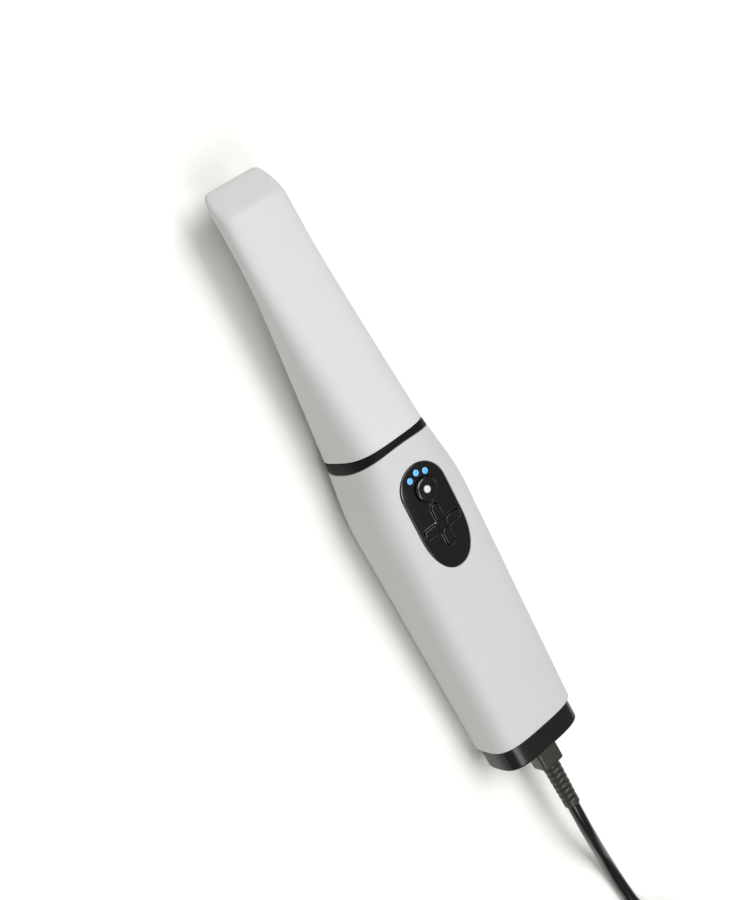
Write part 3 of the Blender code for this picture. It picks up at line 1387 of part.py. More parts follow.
def make_cord():
    """Cord from the strain relief to a tied hank, and on to its far plug."""
    cable = cord_tube("cable", CORD_ROUTE)
    inner, outer, low, high = hank_values()
    corner = CORD_RADIUS * 0.6
    profile = (
        (outer - corner, high), (outer, high - corner), (outer, low + corner), (outer - corner, low),
        (inner + corner, low), (inner, low + corner), (inner, high - corner), (inner + corner, high))
    rings = [hank_ring(radius, height) for radius, height in profile]
    hank = add_part("cable_hank", loft_mesh("cable_hank", rings, closed=True), SOFT_BLACK, 0.45)
    smooth(hank)
    tie = make_tie(outer, low, high)
    plug_y = HANK_Y + outer + TIE_THICKNESS + 3 * FIT + GRIP_WIDTH / 2
    rear = HANK_X - HANK_RUN
    reach = outer + 3 * FIT + CORD_RADIUS
    tail_end = rear + TAIL_LENGTH
    route = [(x, y, CORD_RADIUS + FIT) for x, y in arc((rear, HANK_Y), reach, 180, 110, 7)]
    route += [
        (rear + TAIL_LENGTH * 0.25, HANK_Y + reach + 0.0008, CORD_RADIUS + 2 * FIT),
        (rear + TAIL_LENGTH * 0.55, plug_y - 0.0024, GRIP_HEIGHT / 2 - FIT),
        (tail_end - CORD_RADIUS * 2, plug_y, GRIP_HEIGHT / 2), (tail_end, plug_y, GRIP_HEIGHT / 2)]
    tail = cord_tube("cable_tail", route)
    outline = rounded_rectangle(
        GRIP_WIDTH, GRIP_HEIGHT, GRIP_CORNER, steps=4, centre=(plug_y, GRIP_HEIGHT / 2))
    grip_start = tail_end + FIT
    grip = add_part(
        "host_plug",
        extruded_mesh("host_plug", outline, grip_start, grip_start + GRIP_LENGTH, along="X"),
        SOFT_BLACK, 0.4)
    round_edges(grip, 0.0010)
    smooth(grip)
    shell_start = grip_start + GRIP_LENGTH + FIT
    outline = rounded_rectangle(
        USB_WIDTH, USB_HEIGHT, 0.0005, steps=2, centre=(plug_y, GRIP_HEIGHT / 2))
    shell = add_part(
        "host_plug_shell",
        extruded_mesh("host_plug_shell", outline, shell_start, shell_start + USB_LENGTH, along="X"),
        STEEL, 0.25, metallic=1.0)
    hollow = rounded_rectangle(
        USB_WIDTH - 0.0008, USB_HEIGHT - 0.0008, 0.0003, steps=2, centre=(plug_y, GRIP_HEIGHT / 2))
    cut(shell, extruded_mesh(
        "host_shell_cutter", hollow, shell_start + 0.001, shell_start + USB_LENGTH + 0.001, along="X"))
    moving_frame(
        "cord_carrier", (X_REAR, 0.0, PLUG_Z), [cable, hank, tie, tail, grip, shell])


def make_tie(outer, low, high):
    """Strap round the middle of the hank."""
    middle = HANK_X - HANK_RUN / 2
    centre = (HANK_Y, (low + high) / 2)
    width = 2 * (outer + FIT)
    height = high - low + 2 * FIT
    wall = 2 * TIE_THICKNESS
    outside = rounded_rectangle(width + wall, height + wall, 0.0022, centre=centre)
    inside = rounded_rectangle(width, height, 0.0015, centre=centre)
    tie = add_part(
        "hank_tie",
        extruded_mesh("hank_tie", outside, middle - TIE_WIDTH / 2, middle + TIE_WIDTH / 2, along="X"),
        SOFT_BLACK, 0.7)
    cut(tie, extruded_mesh(
        "hank_tie_cutter", inside, middle - TIE_WIDTH, middle + TIE_WIDTH, along="X"))
    return tie


def build():
    """Make every piece."""
    sleeve = make_tip_sleeve()
    mirror = make_tip_mirror()
    moving_frame("tip_slide", (X_SEAM, 0.0, OPTICS_AXIS_Z), [sleeve, mirror])
    make_front_collar()
    make_optics_snout()
    make_catch("tip_catch_left", 1)
    make_catch("tip_catch_right", -1)
    make_snout_window()
    make_optics_block()
    for side, y in camera_axes():
        make_barrel("camera_barrel_" + side, y, CAMERA_RADIUS, CAMERA_RADIUS)
        make_lens("camera_lens_" + side, y, CAMERA_RADIUS, CAMERA_RADIUS)
    make_barrel("projector_barrel", 0.0, PROJECTOR_RADIUS, PROJECTOR_HOOD_RADIUS)
    make_lens("projector_lens", 0.0, PROJECTOR_RADIUS, PROJECTOR_HOOD_RADIUS)
    make_camera_board()
    make_sensors()
    make_body_shell()
    make_chassis()
    make_main_board()
    make_flexes()
    make_control_panel()
    make_status_lights()
    make_scan_button()
    for quarter, name in enumerate(("key_up", "key_left", "key_down", "key_right")):
        make_key(name, quarter)
    make_key_board()
    make_rear_cap()
    make_socket()
    make_plug()
    make_cord()


build()
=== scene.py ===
"""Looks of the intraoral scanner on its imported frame.

Lengths are in metres. Knots, profiles and steps in tables are in millimetres.
"""
import math

import bmesh
import bpy
from mathutils import Matrix, Vector


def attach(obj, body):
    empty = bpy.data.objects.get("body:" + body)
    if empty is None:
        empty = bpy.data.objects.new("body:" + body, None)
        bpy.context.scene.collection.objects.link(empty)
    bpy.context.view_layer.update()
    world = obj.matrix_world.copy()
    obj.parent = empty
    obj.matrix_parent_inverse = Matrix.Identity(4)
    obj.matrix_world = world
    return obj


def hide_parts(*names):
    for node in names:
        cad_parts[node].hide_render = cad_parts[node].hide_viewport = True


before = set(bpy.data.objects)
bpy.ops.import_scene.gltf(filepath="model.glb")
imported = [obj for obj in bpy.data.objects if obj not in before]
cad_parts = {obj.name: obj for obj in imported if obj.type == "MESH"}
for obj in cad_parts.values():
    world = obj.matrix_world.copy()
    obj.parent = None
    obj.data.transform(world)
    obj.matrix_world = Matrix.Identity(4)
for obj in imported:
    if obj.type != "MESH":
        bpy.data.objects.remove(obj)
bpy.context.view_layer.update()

MM = 0.001
FIT = 0.3 * MM

# Places along the scanner, from the cord end to the nose
X_REAR = -119.2 * MM
X_SHELL = -110.8 * MM
X_SEAM = 15.2 * MM
X_NOSE = 119.2 * MM
X_BUTTON = -5.9 * MM
X_CROSS = -20.5 * MM

SHELL_WALL = 1.8 * MM
TIP_WALL = 1.5 * MM
UNDERSIDE_CUT = 0.35 * MM
BAND_TOP = 2.3 * MM
BAND_SIDE = 4.2 * MM
PORT_DEPTH = 2.2 * MM
PLUG_Z = 17.8 * MM
PLUG_END = X_REAR - 10.8 * MM

# Slanted face of the nose
NOSE_TOP = 30.0 * MM
BEVEL_LENGTH = 11.7 * MM
BEVEL_DROP = 9.0 * MM
BEVEL_SLOPE = BEVEL_DROP / BEVEL_LENGTH
BEVEL_SOFTNESS = 1.2 * MM

# Knots of the outer form: place, value, softness of the corner
WIDTH_KNOTS = (
    (-110.8, 19.7, 0), (-8.8, 21.0, 8), (15.2, 16.7, 0), (83.8, 13.8, 10), (119.2, 13.2, 0))
TOP_KNOTS = (
    (-110.8, 28.1, 0), (-8.8, 37.0, 8), (15.2, 37.8, 0), (83.8, 30.0, 10), (119.2, 30.0, 0))
BOTTOM_KNOTS = (
    (-110.8, 0, 0), (-8.8, 0, 8), (15.2, 0.5, 0), (83.8, 19.0, 10), (119.2, 19.0, 0))
# Exponents of the superellipse of each section, in its lower and in its upper half
BELLY_KNOTS = ((-110.8, 3.0, 0), (15.2, 3.0, 0), (83.8, 2.8, 0), (119.2, 2.6, 0))
SHOULDER = 3.4
RING_POINTS = 160


def spread(start, end, count):
    """Evenly spaced values, both ends included."""
    return [start + (end - start) * index / (count - 1) for index in range(count)]


def softened(x, knots):
    """Value at x (millimetres) of straight runs through the knots, corners rounded off."""
    x = min(max(x, knots[0][0]), knots[-1][0])
    for (x0, v0, _), (x1, v1, _) in zip(knots, knots[1:]):
        value = v0 + (v1 - v0) * (x - x0) / (x1 - x0)
        if x <= x1:
            break
    for before, knot, after in zip(knots, knots[1:], knots[2:]):
        place, level, softness = knot
        if abs(x - place) < softness:
            slope_in = (level - before[1]) / (place - before[0])
            slope_out = (after[1] - level) / (after[0] - place)
            run = x - place + softness
            bend = (slope_out - slope_in) * run ** 2 / (4 * softness)
            value = level + slope_in * (x - place) + bend
    return value


def smooth_min(a, b, softness):
    """The lower of two heights, with the edge between them rounded."""
    share = min(max(0.5 + 0.5 * (b - a) / softness, 0.0), 1.0)
    return b + (a - b) * share - softness * share * (1 - share)


def superellipse(angle, exponent):
    """Point at an angle on a superellipse with half axes of 1."""
    across = math.copysign(abs(math.cos(angle)) ** (2 / exponent), math.cos(angle))
    up = math.copysign(abs(math.sin(angle)) ** (2 / exponent), math.sin(angle))
    return across, up


def section(x, inset=0.0, at=None, side=None, face=None):
    """Ring round the outer form at x, drawn at the place `at` where that is given.

    It is drawn in by the inset, or by `side` in its half width and by `face` above and below.
    """
    half_width = softened(x / MM, WIDTH_KNOTS) * MM - (inset if side is None else side)
    face = inset if face is None else face
    low = softened(x / MM, BOTTOM_KNOTS) * MM - UNDERSIDE_CUT + face
    roof = NOSE_TOP + (X_NOSE - BEVEL_LENGTH - x) * BEVEL_SLOPE
    roof -= face * math.sqrt(1 + BEVEL_SLOPE ** 2)
    high = smooth_min(softened(x / MM, TOP_KNOTS) * MM - face, roof, BEVEL_SOFTNESS)
    belly = softened(x / MM, BELLY_KNOTS)
    points = []
    for index in range(RING_POINTS):
        angle = 2 * math.pi * (index + 0.5) / RING_POINTS
        across, up = superellipse(angle, SHOULDER if index < RING_POINTS / 2 else belly)
        height = max((low + high) / 2 + (high - low) / 2 * up, low + UNDERSIDE_CUT)
        points.append(Vector((x if at is None else at, half_width * across, height)))
    return points


def surface_height(x, y):
    """Height of the handle's crown above (x, y)."""
    half_width = softened(x / MM, WIDTH_KNOTS) * MM
    low = softened(x / MM, BOTTOM_KNOTS) * MM - UNDERSIDE_CUT
    high = softened(x / MM, TOP_KNOTS) * MM
    share = min(abs(y) / half_width, 1.0)
    return (low + high) / 2 + (high - low) / 2 * (1 - share ** SHOULDER) ** (1 / SHOULDER)


# Outlines: lists of points in a plane

def arc(centre, radius, start, end, steps):
    """Points of an arc, angles in degrees."""
    points = []
    for angle in spread(math.radians(start), math.radians(end), steps + 1):
        points.append((centre[0] + radius * math.cos(angle), centre[1] + radius * math.sin(angle)))
    return points


def circle(centre, radius, count=48):
    """Round outline."""
    return arc(centre, radius, 0, 360, count)[:-1]


def rounded_rectangle(length, width, radius, steps=8, centre=(0.0, 0.0)):
    """Outline with its length along the first axis."""
    along = length / 2 - radius
    across = width / 2 - radius
    points = []
    for sign_a, sign_b, start in ((1, 1, 0), (-1, 1, 90), (-1, -1, 180), (1, -1, 270)):
        corner = (centre[0] + sign_a * along, centre[1] + sign_b * across)
        points += arc(corner, radius, start, start + 90, steps)
    return points


PANEL_HALF_WIDTH = 9.9 * MM
EGG_CENTRE = -20.3 * MM
EGG_REACH = 17.1 * MM
EGG_EXPONENT = 2.15


def panel_outline(grow=0.0):
    """Outline of the control panel: round towards the nose, egg-shaped towards the cord."""
    half_width = PANEL_HALF_WIDTH + grow
    points = arc((X_BUTTON, 0.0), half_width, -90, 90, 40)
    for angle in spread(math.pi / 2, 3 * math.pi / 2, 57):
        along, across = superellipse(angle, EGG_EXPONENT)
        points.append((EGG_CENTRE + (EGG_REACH + grow) * along, half_width * across))
    return points


def round_cross(points, quarter):
    """Points turned by quarter turns about the middle of the cross."""
    turn = Matrix.Rotation(math.radians(90 * quarter), 2)
    turned = [turn @ Vector(point) for point in points]
    return [(X_CROSS + point.x, point.y) for point in turned]


def cross_outline(grow=0.0):
    """Outline of the cross-shaped slot, with rounded ends and filleted inner corners."""
    reach = 8.5 * MM + grow
    half = 1.85 * MM + grow
    fillet = 1.2 * MM - grow
    end = 1.5 * MM + grow
    arm = arc((reach - end, end - half), end, -90, 0, 8)
    arm += arc((reach - end, half - end), end, 0, 90, 8)
    arm += arc((half + fillet, half + fillet), fillet, -90, -180, 8)[:-1]
    points = []
    for quarter in range(4):
        points += round_cross(arm, quarter)
    return points


def key_outline(quarter, grow=0.0):
    """Outline of one key of the cross."""
    start = 1.8 * MM - grow
    end = 8.15 * MM + grow
    width = 3.0 * MM + 2 * grow
    corner = 1.2 * MM + grow
    local = rounded_rectangle(end - start, width, corner, centre=((start + end) / 2, 0.0))
    return round_cross(local, quarter)


# Camera at the photograph's viewing angle

FOCAL_LENGTH_PIXELS = 1422.96
FRAME_HEIGHT_PIXELS = 900.0


def make_camera():
    """Camera that looks down on the scanner from its nose side."""
    bpy.ops.object.camera_add()
    camera = bpy.context.object
    right = Vector((-0.47308, -0.73805, 0.48113))
    up = Vector((0.8481, -0.52938, 0.02186))
    back = Vector((0.23856, 0.41839, 0.87638))
    place = Vector((0.133195, 0.214557, 0.464569))
    turn = Matrix((right, up, back)).transposed().to_4x4()
    camera.matrix_world = Matrix.Translation(place) @ turn
    camera.data.sensor_width = 36.0
    camera.data.lens = FOCAL_LENGTH_PIXELS * camera.data.sensor_width / FRAME_HEIGHT_PIXELS
    camera.data.clip_start = 0.01
    camera.data.clip_end = 20.0
    bpy.context.scene.camera = camera


make_camera()


# Materials

def linear(hex_colour):
    """sRGB hex to linear RGBA."""
    channels = []
    for place in (1, 3, 5):
        value = int(hex_colour[place:place + 2], 16) / 255
        channels.append(value / 12.92 if value <= 0.04045 else ((value + 0.055) / 1.055) ** 2.4)
    return (*channels, 1.0)


def add_node(tree, kind, settings=None, values=None, links=None):
    """Node with its settings, its socket values and its incoming links."""
    made = tree.nodes.new(kind)
    for name, value in (settings or {}).items():
        setattr(made, name, value)
    for socket, value in (values or {}).items():
        made.inputs[socket].default_value = value
    for socket, source in (links or {}).items():
        tree.links.new(source, made.inputs[socket])
    return made


def own_place(tree):
    """Coordinates of the object itself."""
    return add_node(tree, "ShaderNodeTexCoord").outputs["Object"]


def add_blend(tree, shader, factor, first, second):
    """Base colour that runs from one colour to another with a factor."""
    blend = add_node(tree, "ShaderNodeMix", {"data_type": "RGBA"}, links={"Factor": factor})
    blend.inputs["A"].default_value = linear(first)
    blend.inputs["B"].default_value = linear(second)
    tree.links.new(blend.outputs["Result"], shader.inputs["Base Color"])


def add_gloss(tree, shader, factor, smoothest, roughest):
    """Roughness that varies with a factor."""
    gloss = add_node(tree, "ShaderNodeMapRange",
                     values={"To Min": smoothest, "To Max": roughest}, links={"Value": factor})
    tree.links.new(gloss.outputs["Result"], shader.inputs["Roughness"])


def add_relief(tree, shader, height, strength, depth):
    """Fine relief from a height."""
    relief = add_node(tree, "ShaderNodeBump", values={"Strength": strength, "Distance": depth},
                      links={"Height": height})
    tree.links.new(relief.outputs["Normal"], shader.inputs["Normal"])


def new_finish(name, colour, roughness, metallic=0.0, ior=1.5, **more):
    """Principled material with its constants; returns the material, its tree and its shader."""
    made = bpy.data.materials.new(name)
    made.use_nodes = True
    tree = made.node_tree
    shader = tree.nodes["Principled BSDF"]
    shader.inputs["Base Color"].default_value = linear(colour)
    shader.inputs["Roughness"].default_value = roughness
    shader.inputs["Metallic"].default_value = metallic
    shader.inputs["IOR"].default_value = ior
    for socket, value in more.items():
        shader.inputs[socket.replace("_", " ")].default_value = value
    return made, tree, shader


CLOUD_SIZE = 28 * MM
GRAIN_DEPTH = 0.02 * MM
TOOL_LINE_DEPTH = 0.01 * MM
# With this divisor of its scale, a wave texture's lines lie about two line widths apart
WAVE_DIVISOR = 6.28


def moulded(name, light, dark, roughness, gloss_range, grain_mm, relief, ior=1.5, **more):
    """Moulded plastic: a faint cloud in its colour and gloss, and the grain of its mould."""
    made, tree, shader = new_finish(name, light, roughness, ior=ior, **more)
    place = own_place(tree)
    cloud = add_node(tree, "ShaderNodeTexNoise", values={"Scale": 1 / CLOUD_SIZE, "Detail": 3.0},
                     links={"Vector": place})
    grain = add_node(tree, "ShaderNodeTexNoise",
                     values={"Scale": 1 / (grain_mm * MM), "Detail": 2.0}, links={"Vector": place})
    add_blend(tree, shader, cloud.outputs["Fac"], light, dark)
    add_gloss(tree, shader, cloud.outputs["Fac"], roughness - gloss_range, roughness + gloss_range)
    add_relief(tree, shader, grain.outputs["Fac"], relief, GRAIN_DEPTH)
    return made


def milled(name, colour, roughness, line_mm, relief):
    """Metal with fine tool lines across X."""
    made, tree, shader = new_finish(name, colour, roughness, metallic=1.0)
    lines = add_node(tree, "ShaderNodeTexWave", {"bands_direction": "X"}, {
        "Scale": 1 / (line_mm * MM) / WAVE_DIVISOR, "Distortion": 1.5, "Detail": 2.0},
        {"Vector": own_place(tree)})
    add_gloss(tree, shader, lines.outputs["Fac"], roughness * 0.8, roughness * 1.25)
    add_relief(tree, shader, lines.outputs["Fac"], relief, TOOL_LINE_DEPTH)
    return made


# ABS from a satin bead-blasted mould: soft broad highlights, and a grain of about 0.5 mm
WHITE_ABS = moulded("white_satin_abs", "#C7C7C6", "#CDCDCC", 0.52, 0.03, 0.5, 0.10, ior=1.53)
# Same ABS on the removable tip, a little paler and more matte
TIP_ABS = moulded("white_tip_abs", "#CDCECD", "#D3D4D3", 0.60, 0.03, 0.6, 0.06, ior=1.53)
# Polished polycarbonate: near-black with sharp reflections and hardly any orange peel
PIANO_BLACK = moulded("polished_black_polycarbonate", "#151514", "#161615", 0.16, 0.03, 3.0, 0.05,
                      ior=1.58)
# End cap: a slightly lighter black than the panel's, and a softer polish
CAP_BLACK = moulded("black_cap_abs", "#21211F", "#1D1D1B", 0.24, 0.03, 2.0, 0.05,
                    Specular_IOR_Level=0.25)
# Seam band: satin black that mirrors next to nothing
BAND_BLACK = moulded("black_band_abs", "#1D1D1B", "#191917", 0.36, 0.03, 2.0, 0.05,
                     Specular_IOR_Level=0.04)
# Thermoplastic elastomer of the plugs and the strain relief: soft sheen, fine matte grain
PLUG_TPE = moulded("black_tpe_overmould", "#3B3A33", "#34332D", 0.36, 0.05, 0.4, 0.25,
                   Specular_IOR_Level=0.4)
# PVC cord jacket: smooth extruded skin with a long glossy highlight
CORD_PVC = moulded("black_pvc_jacket", "#161614", "#121211", 0.26, 0.04, 1.5, 0.08, ior=1.53)
# Black anodised aluminium of the snout and the barrels
BLACK_ANODISED = milled("black_anodised_aluminium", "#26272A", 0.34, 0.25, 0.15)
# Machined aluminium of the block, the channel and the heat sink
MACHINED = milled("machined_aluminium", "#C9CACC", 0.32, 0.3, 0.2)
# Nickel-plated steel of the shells, pins and screws
NICKEL = milled("nickel_plated_steel", "#C6C4BE", 0.18, 0.4, 0.05)


def glowing_lens(name, core, rim, strength, centres, radius):
    """Diffuser over a lamp: one colour over most of its face, and another at its rim."""
    made, tree, shader = new_finish(name, core, 0.30)
    place = own_place(tree)
    nearest = None
    for centre in centres:
        away = add_node(tree, "ShaderNodeVectorMath", {"operation": "DISTANCE"}, {1: centre},
                        {0: place}).outputs["Value"]
        if nearest is not None:
            away = add_node(tree, "ShaderNodeMath", {"operation": "MINIMUM"},
                            links={0: nearest, 1: away}).outputs["Value"]
        nearest = away
    share = add_node(tree, "ShaderNodeMath", {"operation": "DIVIDE"}, {1: radius}, {0: nearest})
    ramp = add_node(tree, "ShaderNodeValToRGB", links={"Fac": share.outputs["Value"]})
    stops = ramp.color_ramp.elements
    stops[0].position = 0.30
    stops[0].color = linear(core)
    stops[1].position = 1.0
    stops[1].color = linear(rim)
    middle = stops.new(0.72)
    middle.color = linear(core)
    tree.links.new(ramp.outputs["Color"], shader.inputs["Base Color"])
    tree.links.new(ramp.outputs["Color"], shader.inputs["Emission Color"])
    shader.inputs["Emission Strength"].default_value = strength
    return made


STATUS_LIGHT_RADIUS = 1.15 * MM
BUTTON_LIGHT_RADIUS = 1.3 * MM
BUTTON_CENTRE = (X_BUTTON - 0.15 * MM, -0.35 * MM)
BUTTON_HEIGHT = surface_height(X_BUTTON, 0.0)


def light_centres():
    """Places of the three status lights on the crown, in an arc ahead of the button."""
    places = []
    for along, across in ((5.5, 3.6), (6.75, 0.0), (5.5, -3.6)):
        x, y = X_BUTTON + along * MM, across * MM
        places.append((x, y, surface_height(x, y)))
    return places


LIGHT_CENTRES = light_centres()
# Lit acrylic light pipes, sky blue with a paler rim
BLUE_LENS = glowing_lens("blue_light_pipe", "#57A6E2", "#7DBFEE", 0.36, LIGHT_CENTRES,
                         STATUS_LIGHT_RADIUS)
# White diffuser in the middle of the button
WHITE_LENS = glowing_lens("white_diffuser", "#D2D2D0", "#E6E6E4", 0.12,
                          [(*BUTTON_CENTRE, BUTTON_HEIGHT + 1.35 * MM)], BUTTON_LIGHT_RADIUS)
# White inlay and lamp bodies: plain moulded polycarbonate
WHITE_INLAY = moulded("white_inlay_polycarbonate", "#EDEDED", "#E2E2E0", 0.35, 0.03, 0.4, 0.05)


def make_glass(name, tint):
    """Coated optical glass: clear, with a trace of the coating's colour at a slant."""
    made, tree, shader = new_finish(name, tint, 0.02, ior=1.52, Transmission_Weight=1.0)
    slant = add_node(tree, "ShaderNodeLayerWeight", values={"Blend": 0.35})
    add_blend(tree, shader, slant.outputs["Facing"], tint, "#B9A8E0")
    return made


GLASS = make_glass("coated_optical_glass", "#E8F4F2")
# Silvered glass behind the slanted nose: a sharp image, with no relief
MIRROR = milled("silvered_mirror", "#E6EBEC", 0.03, 4.0, 0.0)


def make_board_finish():
    """Solder mask over copper: green, with lighter tracks about 0.6 mm wide under it."""
    made, tree, shader = new_finish("green_solder_mask", "#1B5A37", 0.35)
    cells = add_node(tree, "ShaderNodeTexBrick", values={
        "Scale": 1 / (6 * MM), "Mortar Size": 0.05, "Mortar Smooth": 0.2,
        "Color1": linear("#17512F"), "Color2": linear("#1D5F3A"), "Mortar": linear("#3B8A58")},
        links={"Vector": own_place(tree)})
    tree.links.new(cells.outputs["Color"], shader.inputs["Base Color"])
    add_relief(tree, shader, cells.outputs["Fac"], 0.3, 0.03 * MM)
    return made


SOLDER_MASK = make_board_finish()
# Epoxy chip packages: dark grey, slightly grainy
CHIP_EPOXY = moulded("black_epoxy_package", "#2A2A2B", "#222223", 0.45, 0.05, 0.3, 0.3)
# Polyimide film of the ribbons: amber and glossy
POLYIMIDE = moulded("amber_polyimide_film", "#A8631E", "#8E4F15", 0.25, 0.05, 2.0, 0.05)


def make_strap_finish():
    """Woven hook-and-loop strap: loops about 0.8 mm apart, no gloss."""
    made, tree, shader = new_finish("black_nylon_loop_strap", "#1C1C1C", 0.85, Sheen_Weight=0.4)
    loops = add_node(tree, "ShaderNodeTexVoronoi", values={"Scale": 1 / (0.8 * MM)},
                     links={"Vector": own_place(tree)})
    add_blend(tree, shader, loops.outputs["Distance"], "#2B2B2B", "#0E0E0E")
    add_relief(tree, shader, loops.outputs["Distance"], 0.8, 0.2 * MM)
    return made


STRAP = make_strap_finish()


# Modelling, as by hand: a primitive, then edit-mode operators

def select_only(item):
    """Make one object the active one and the only one selected."""
    bpy.ops.object.select_all(action="DESELECT")
    item.select_set(True)
    bpy.context.view_layer.objects.active = item


def place_key(place):
    """Place rounded to a tenth of a micrometre, by which a vertex is found again."""
    return Vector(place).to_tuple(7)


def extrude_loop(item, before, after):
    """Extrude the selected loop and move it from one ring of points to the next."""
    bpy.ops.mesh.extrude_region_move()
    bm = bmesh.from_edit_mesh(item.data)
    places = {place_key(point): new for point, new in zip(before, after)}
    for vertex in bm.verts:
        if vertex.select:
            vertex.co = places[place_key(vertex.co)]
    bmesh.update_edit_mesh(item.data)


def select_ring(item, ring):
    """Select only the points of one ring."""
    bpy.ops.mesh.select_all(action="DESELECT")
    bm = bmesh.from_edit_mesh(item.data)
    places = {place_key(point) for point in ring}
    for vertex in bm.verts:
        vertex.select_set(place_key(vertex.co) in places)
    bm.select_flush_mode()
    bmesh.update_edit_mesh(item.data)


def soften(item, degrees):
    """Smooth shading, with edges above the angle kept sharp."""
    select_only(item)
    bpy.ops.object.shade_smooth_by_angle(angle=math.radians(degrees))


def skin(name, rings, closed=False, sharp=32):
    """Loft: a circle shaped to the first ring, extruded from ring to ring.

    It ends in two flat faces, or runs back into its first ring where it is closed.
    """
    bpy.ops.object.select_all(action="DESELECT")
    bpy.ops.mesh.primitive_circle_add(vertices=len(rings[0]), radius=0.01)
    item = bpy.context.object
    item.name = name
    for vertex, point in zip(item.data.vertices, rings[0]):
        vertex.co = point
    select_only(item)
    bpy.ops.object.mode_set(mode="EDIT")
    bpy.ops.mesh.select_mode(type="VERT")
    bpy.ops.mesh.select_all(action="SELECT")
    for before, after in zip(rings, rings[1:]):
        extrude_loop(item, before, after)
    if closed:
        extrude_loop(item, rings[-1], rings[0])
        bpy.ops.mesh.select_all(action="SELECT")
        bpy.ops.mesh.remove_doubles(threshold=MM / 1000)
    else:
        bpy.ops.mesh.edge_face_add()
        select_ring(item, rings[0])
        bpy.ops.mesh.edge_face_add()
    bpy.ops.mesh.select_all(action="SELECT")
    bpy.ops.mesh.normals_make_consistent(inside=False)
    bpy.ops.object.mode_set(mode="OBJECT")
    soften(item, sharp)
    return item


def join(item, others):
    """Join closed shapes into one."""
    select_only(item)
    for other in others:
        other.select_set(True)
    if others:
        bpy.ops.object.join()
    return item


def cut_away(item, cutters):
    """One Boolean with all the cutters joined, applied; the cutters are used up."""
    cutter = join(cutters[0], cutters[1:])
    select_only(item)
    modifier = item.modifiers.new("Cut", "BOOLEAN")
    modifier.operation = "DIFFERENCE"
    modifier.solver = "EXACT"
    modifier.object = cutter
    bpy.ops.object.modifier_apply(modifier=modifier.name)
    bpy.data.objects.remove(cutter, do_unlink=True)
    soften(item, 32)
    return item


def finish_piece(item, material, body, slot, *nodes):
    """Give the piece its material and its body, and hide the CAD nodes that it stands for."""
    item.data.materials.clear()
    item.data.materials.append(material)
    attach(item, body)
    if nodes:
        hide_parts(*nodes)
    return item


def quarter_round(radius, steps):
    """(along, inset) of a rounded edge, from the flank to the face."""
    return [(radius * (1 - math.sin(angle)), radius * (1 - math.cos(angle)))
            for angle in spread(0.0, math.pi / 2, steps + 1)]


def rolled_edge(inwards, down, steps, grow=0.0, rise=0.0):
    """(growth, height) of a rounded edge, from just above its foot to the face at the rise."""
    return [(grow - inwards * (1 - math.cos(angle)), rise - down * (1 - math.sin(angle)))
            for angle in spread(0.0, math.pi / 2, steps + 1)[1:]]


def across_x(x, outline):
    """Ring at x from an outline in (y, z)."""
    return [Vector((x, y, z)) for y, z in outline]


def raised(outline, rise):
    """Ring at a height above the crown of the handle."""
    return [Vector((x, y, surface_height(x, y) + rise)) for x, y in outline]


def crowned(name, outline_at, profile, **more):
    """Piece that follows the crown, from (growth of its outline, height over the crown)."""
    rings = [raised(outline_at(grow * MM), rise * MM) for grow, rise in profile]
    return skin(name, rings, **more)


def upright(name, centre, height, profile, count, **more):
    """Round piece about an upright axis, from (radius, height over the given one)."""
    rings = []
    for radius, rise in profile:
        rings.append([Vector((x, y, height + rise * MM))
                      for x, y in circle(centre, radius * MM, count)])
    return skin(name, rings, **more)


# Shell, seam band and cap

def band_edges(ring):
    """X of the wavy rear edge of the seam band at each point of the seam's section."""
    middle = (min(point.z for point in ring) + max(point.z for point in ring)) / 2
    edges = []
    for point in ring:
        angle = math.atan2(point.z - middle, point.y)
        edges.append(X_SEAM - (BAND_TOP + (BAND_SIDE - BAND_TOP) * math.cos(angle) ** 2))
    return edges


BAND_EDGES = band_edges(section(X_SEAM))


def wavy_ring(back, inset, share=1.0, start=0.0):
    """Ring parallel to the seam band's rear edge, or on the way to it from a plain ring."""
    points = []
    for index, edge in enumerate(BAND_EDGES):
        x = start + (edge - back - start) * share
        points.append(section(x, inset)[index])
    return points


def make_body_shell():
    """Moulded tube: outer skin, rounded rims, inner skin, and the opening for the panel."""
    behind_panel = -42 * MM
    wave_start = 8.0 * MM
    rings = [section(X_SHELL + along, inset)
             for along, inset in reversed(quarter_round(0.5 * MM, 4))]
    # The rings lie closer together along the panel's opening, where the shell bends
    rings += [section(x) for x in spread(X_SHELL + 3 * MM, behind_panel, 20)]
    rings += [section(x) for x in spread(behind_panel + 1.5 * MM, wave_start, 38)]
    rings += [wavy_ring(FIT, 0.0, share, wave_start) for share in (0.3, 0.6, 0.85)]
    rings += [wavy_ring(FIT + 0.2 * MM, 0.0), wavy_ring(FIT + 0.06 * MM, 0.06 * MM),
              wavy_ring(FIT, 0.2 * MM), wavy_ring(FIT, SHELL_WALL)]
    rings += [section(x, SHELL_WALL) for x in spread(wave_start, X_SHELL + 4 * MM, 22)]
    rings.append(section(X_SHELL, SHELL_WALL))
    shell = skin("body_shell_skin", rings, closed=True)
    mouth = ((0.1, -8.0), (0.1, -0.22), (0.17, -0.08), (0.32, 0.02), (0.8, 0.6), (0.8, 4.0))
    return cut_away(shell, [crowned("panel_cutter", panel_outline, mouth)])


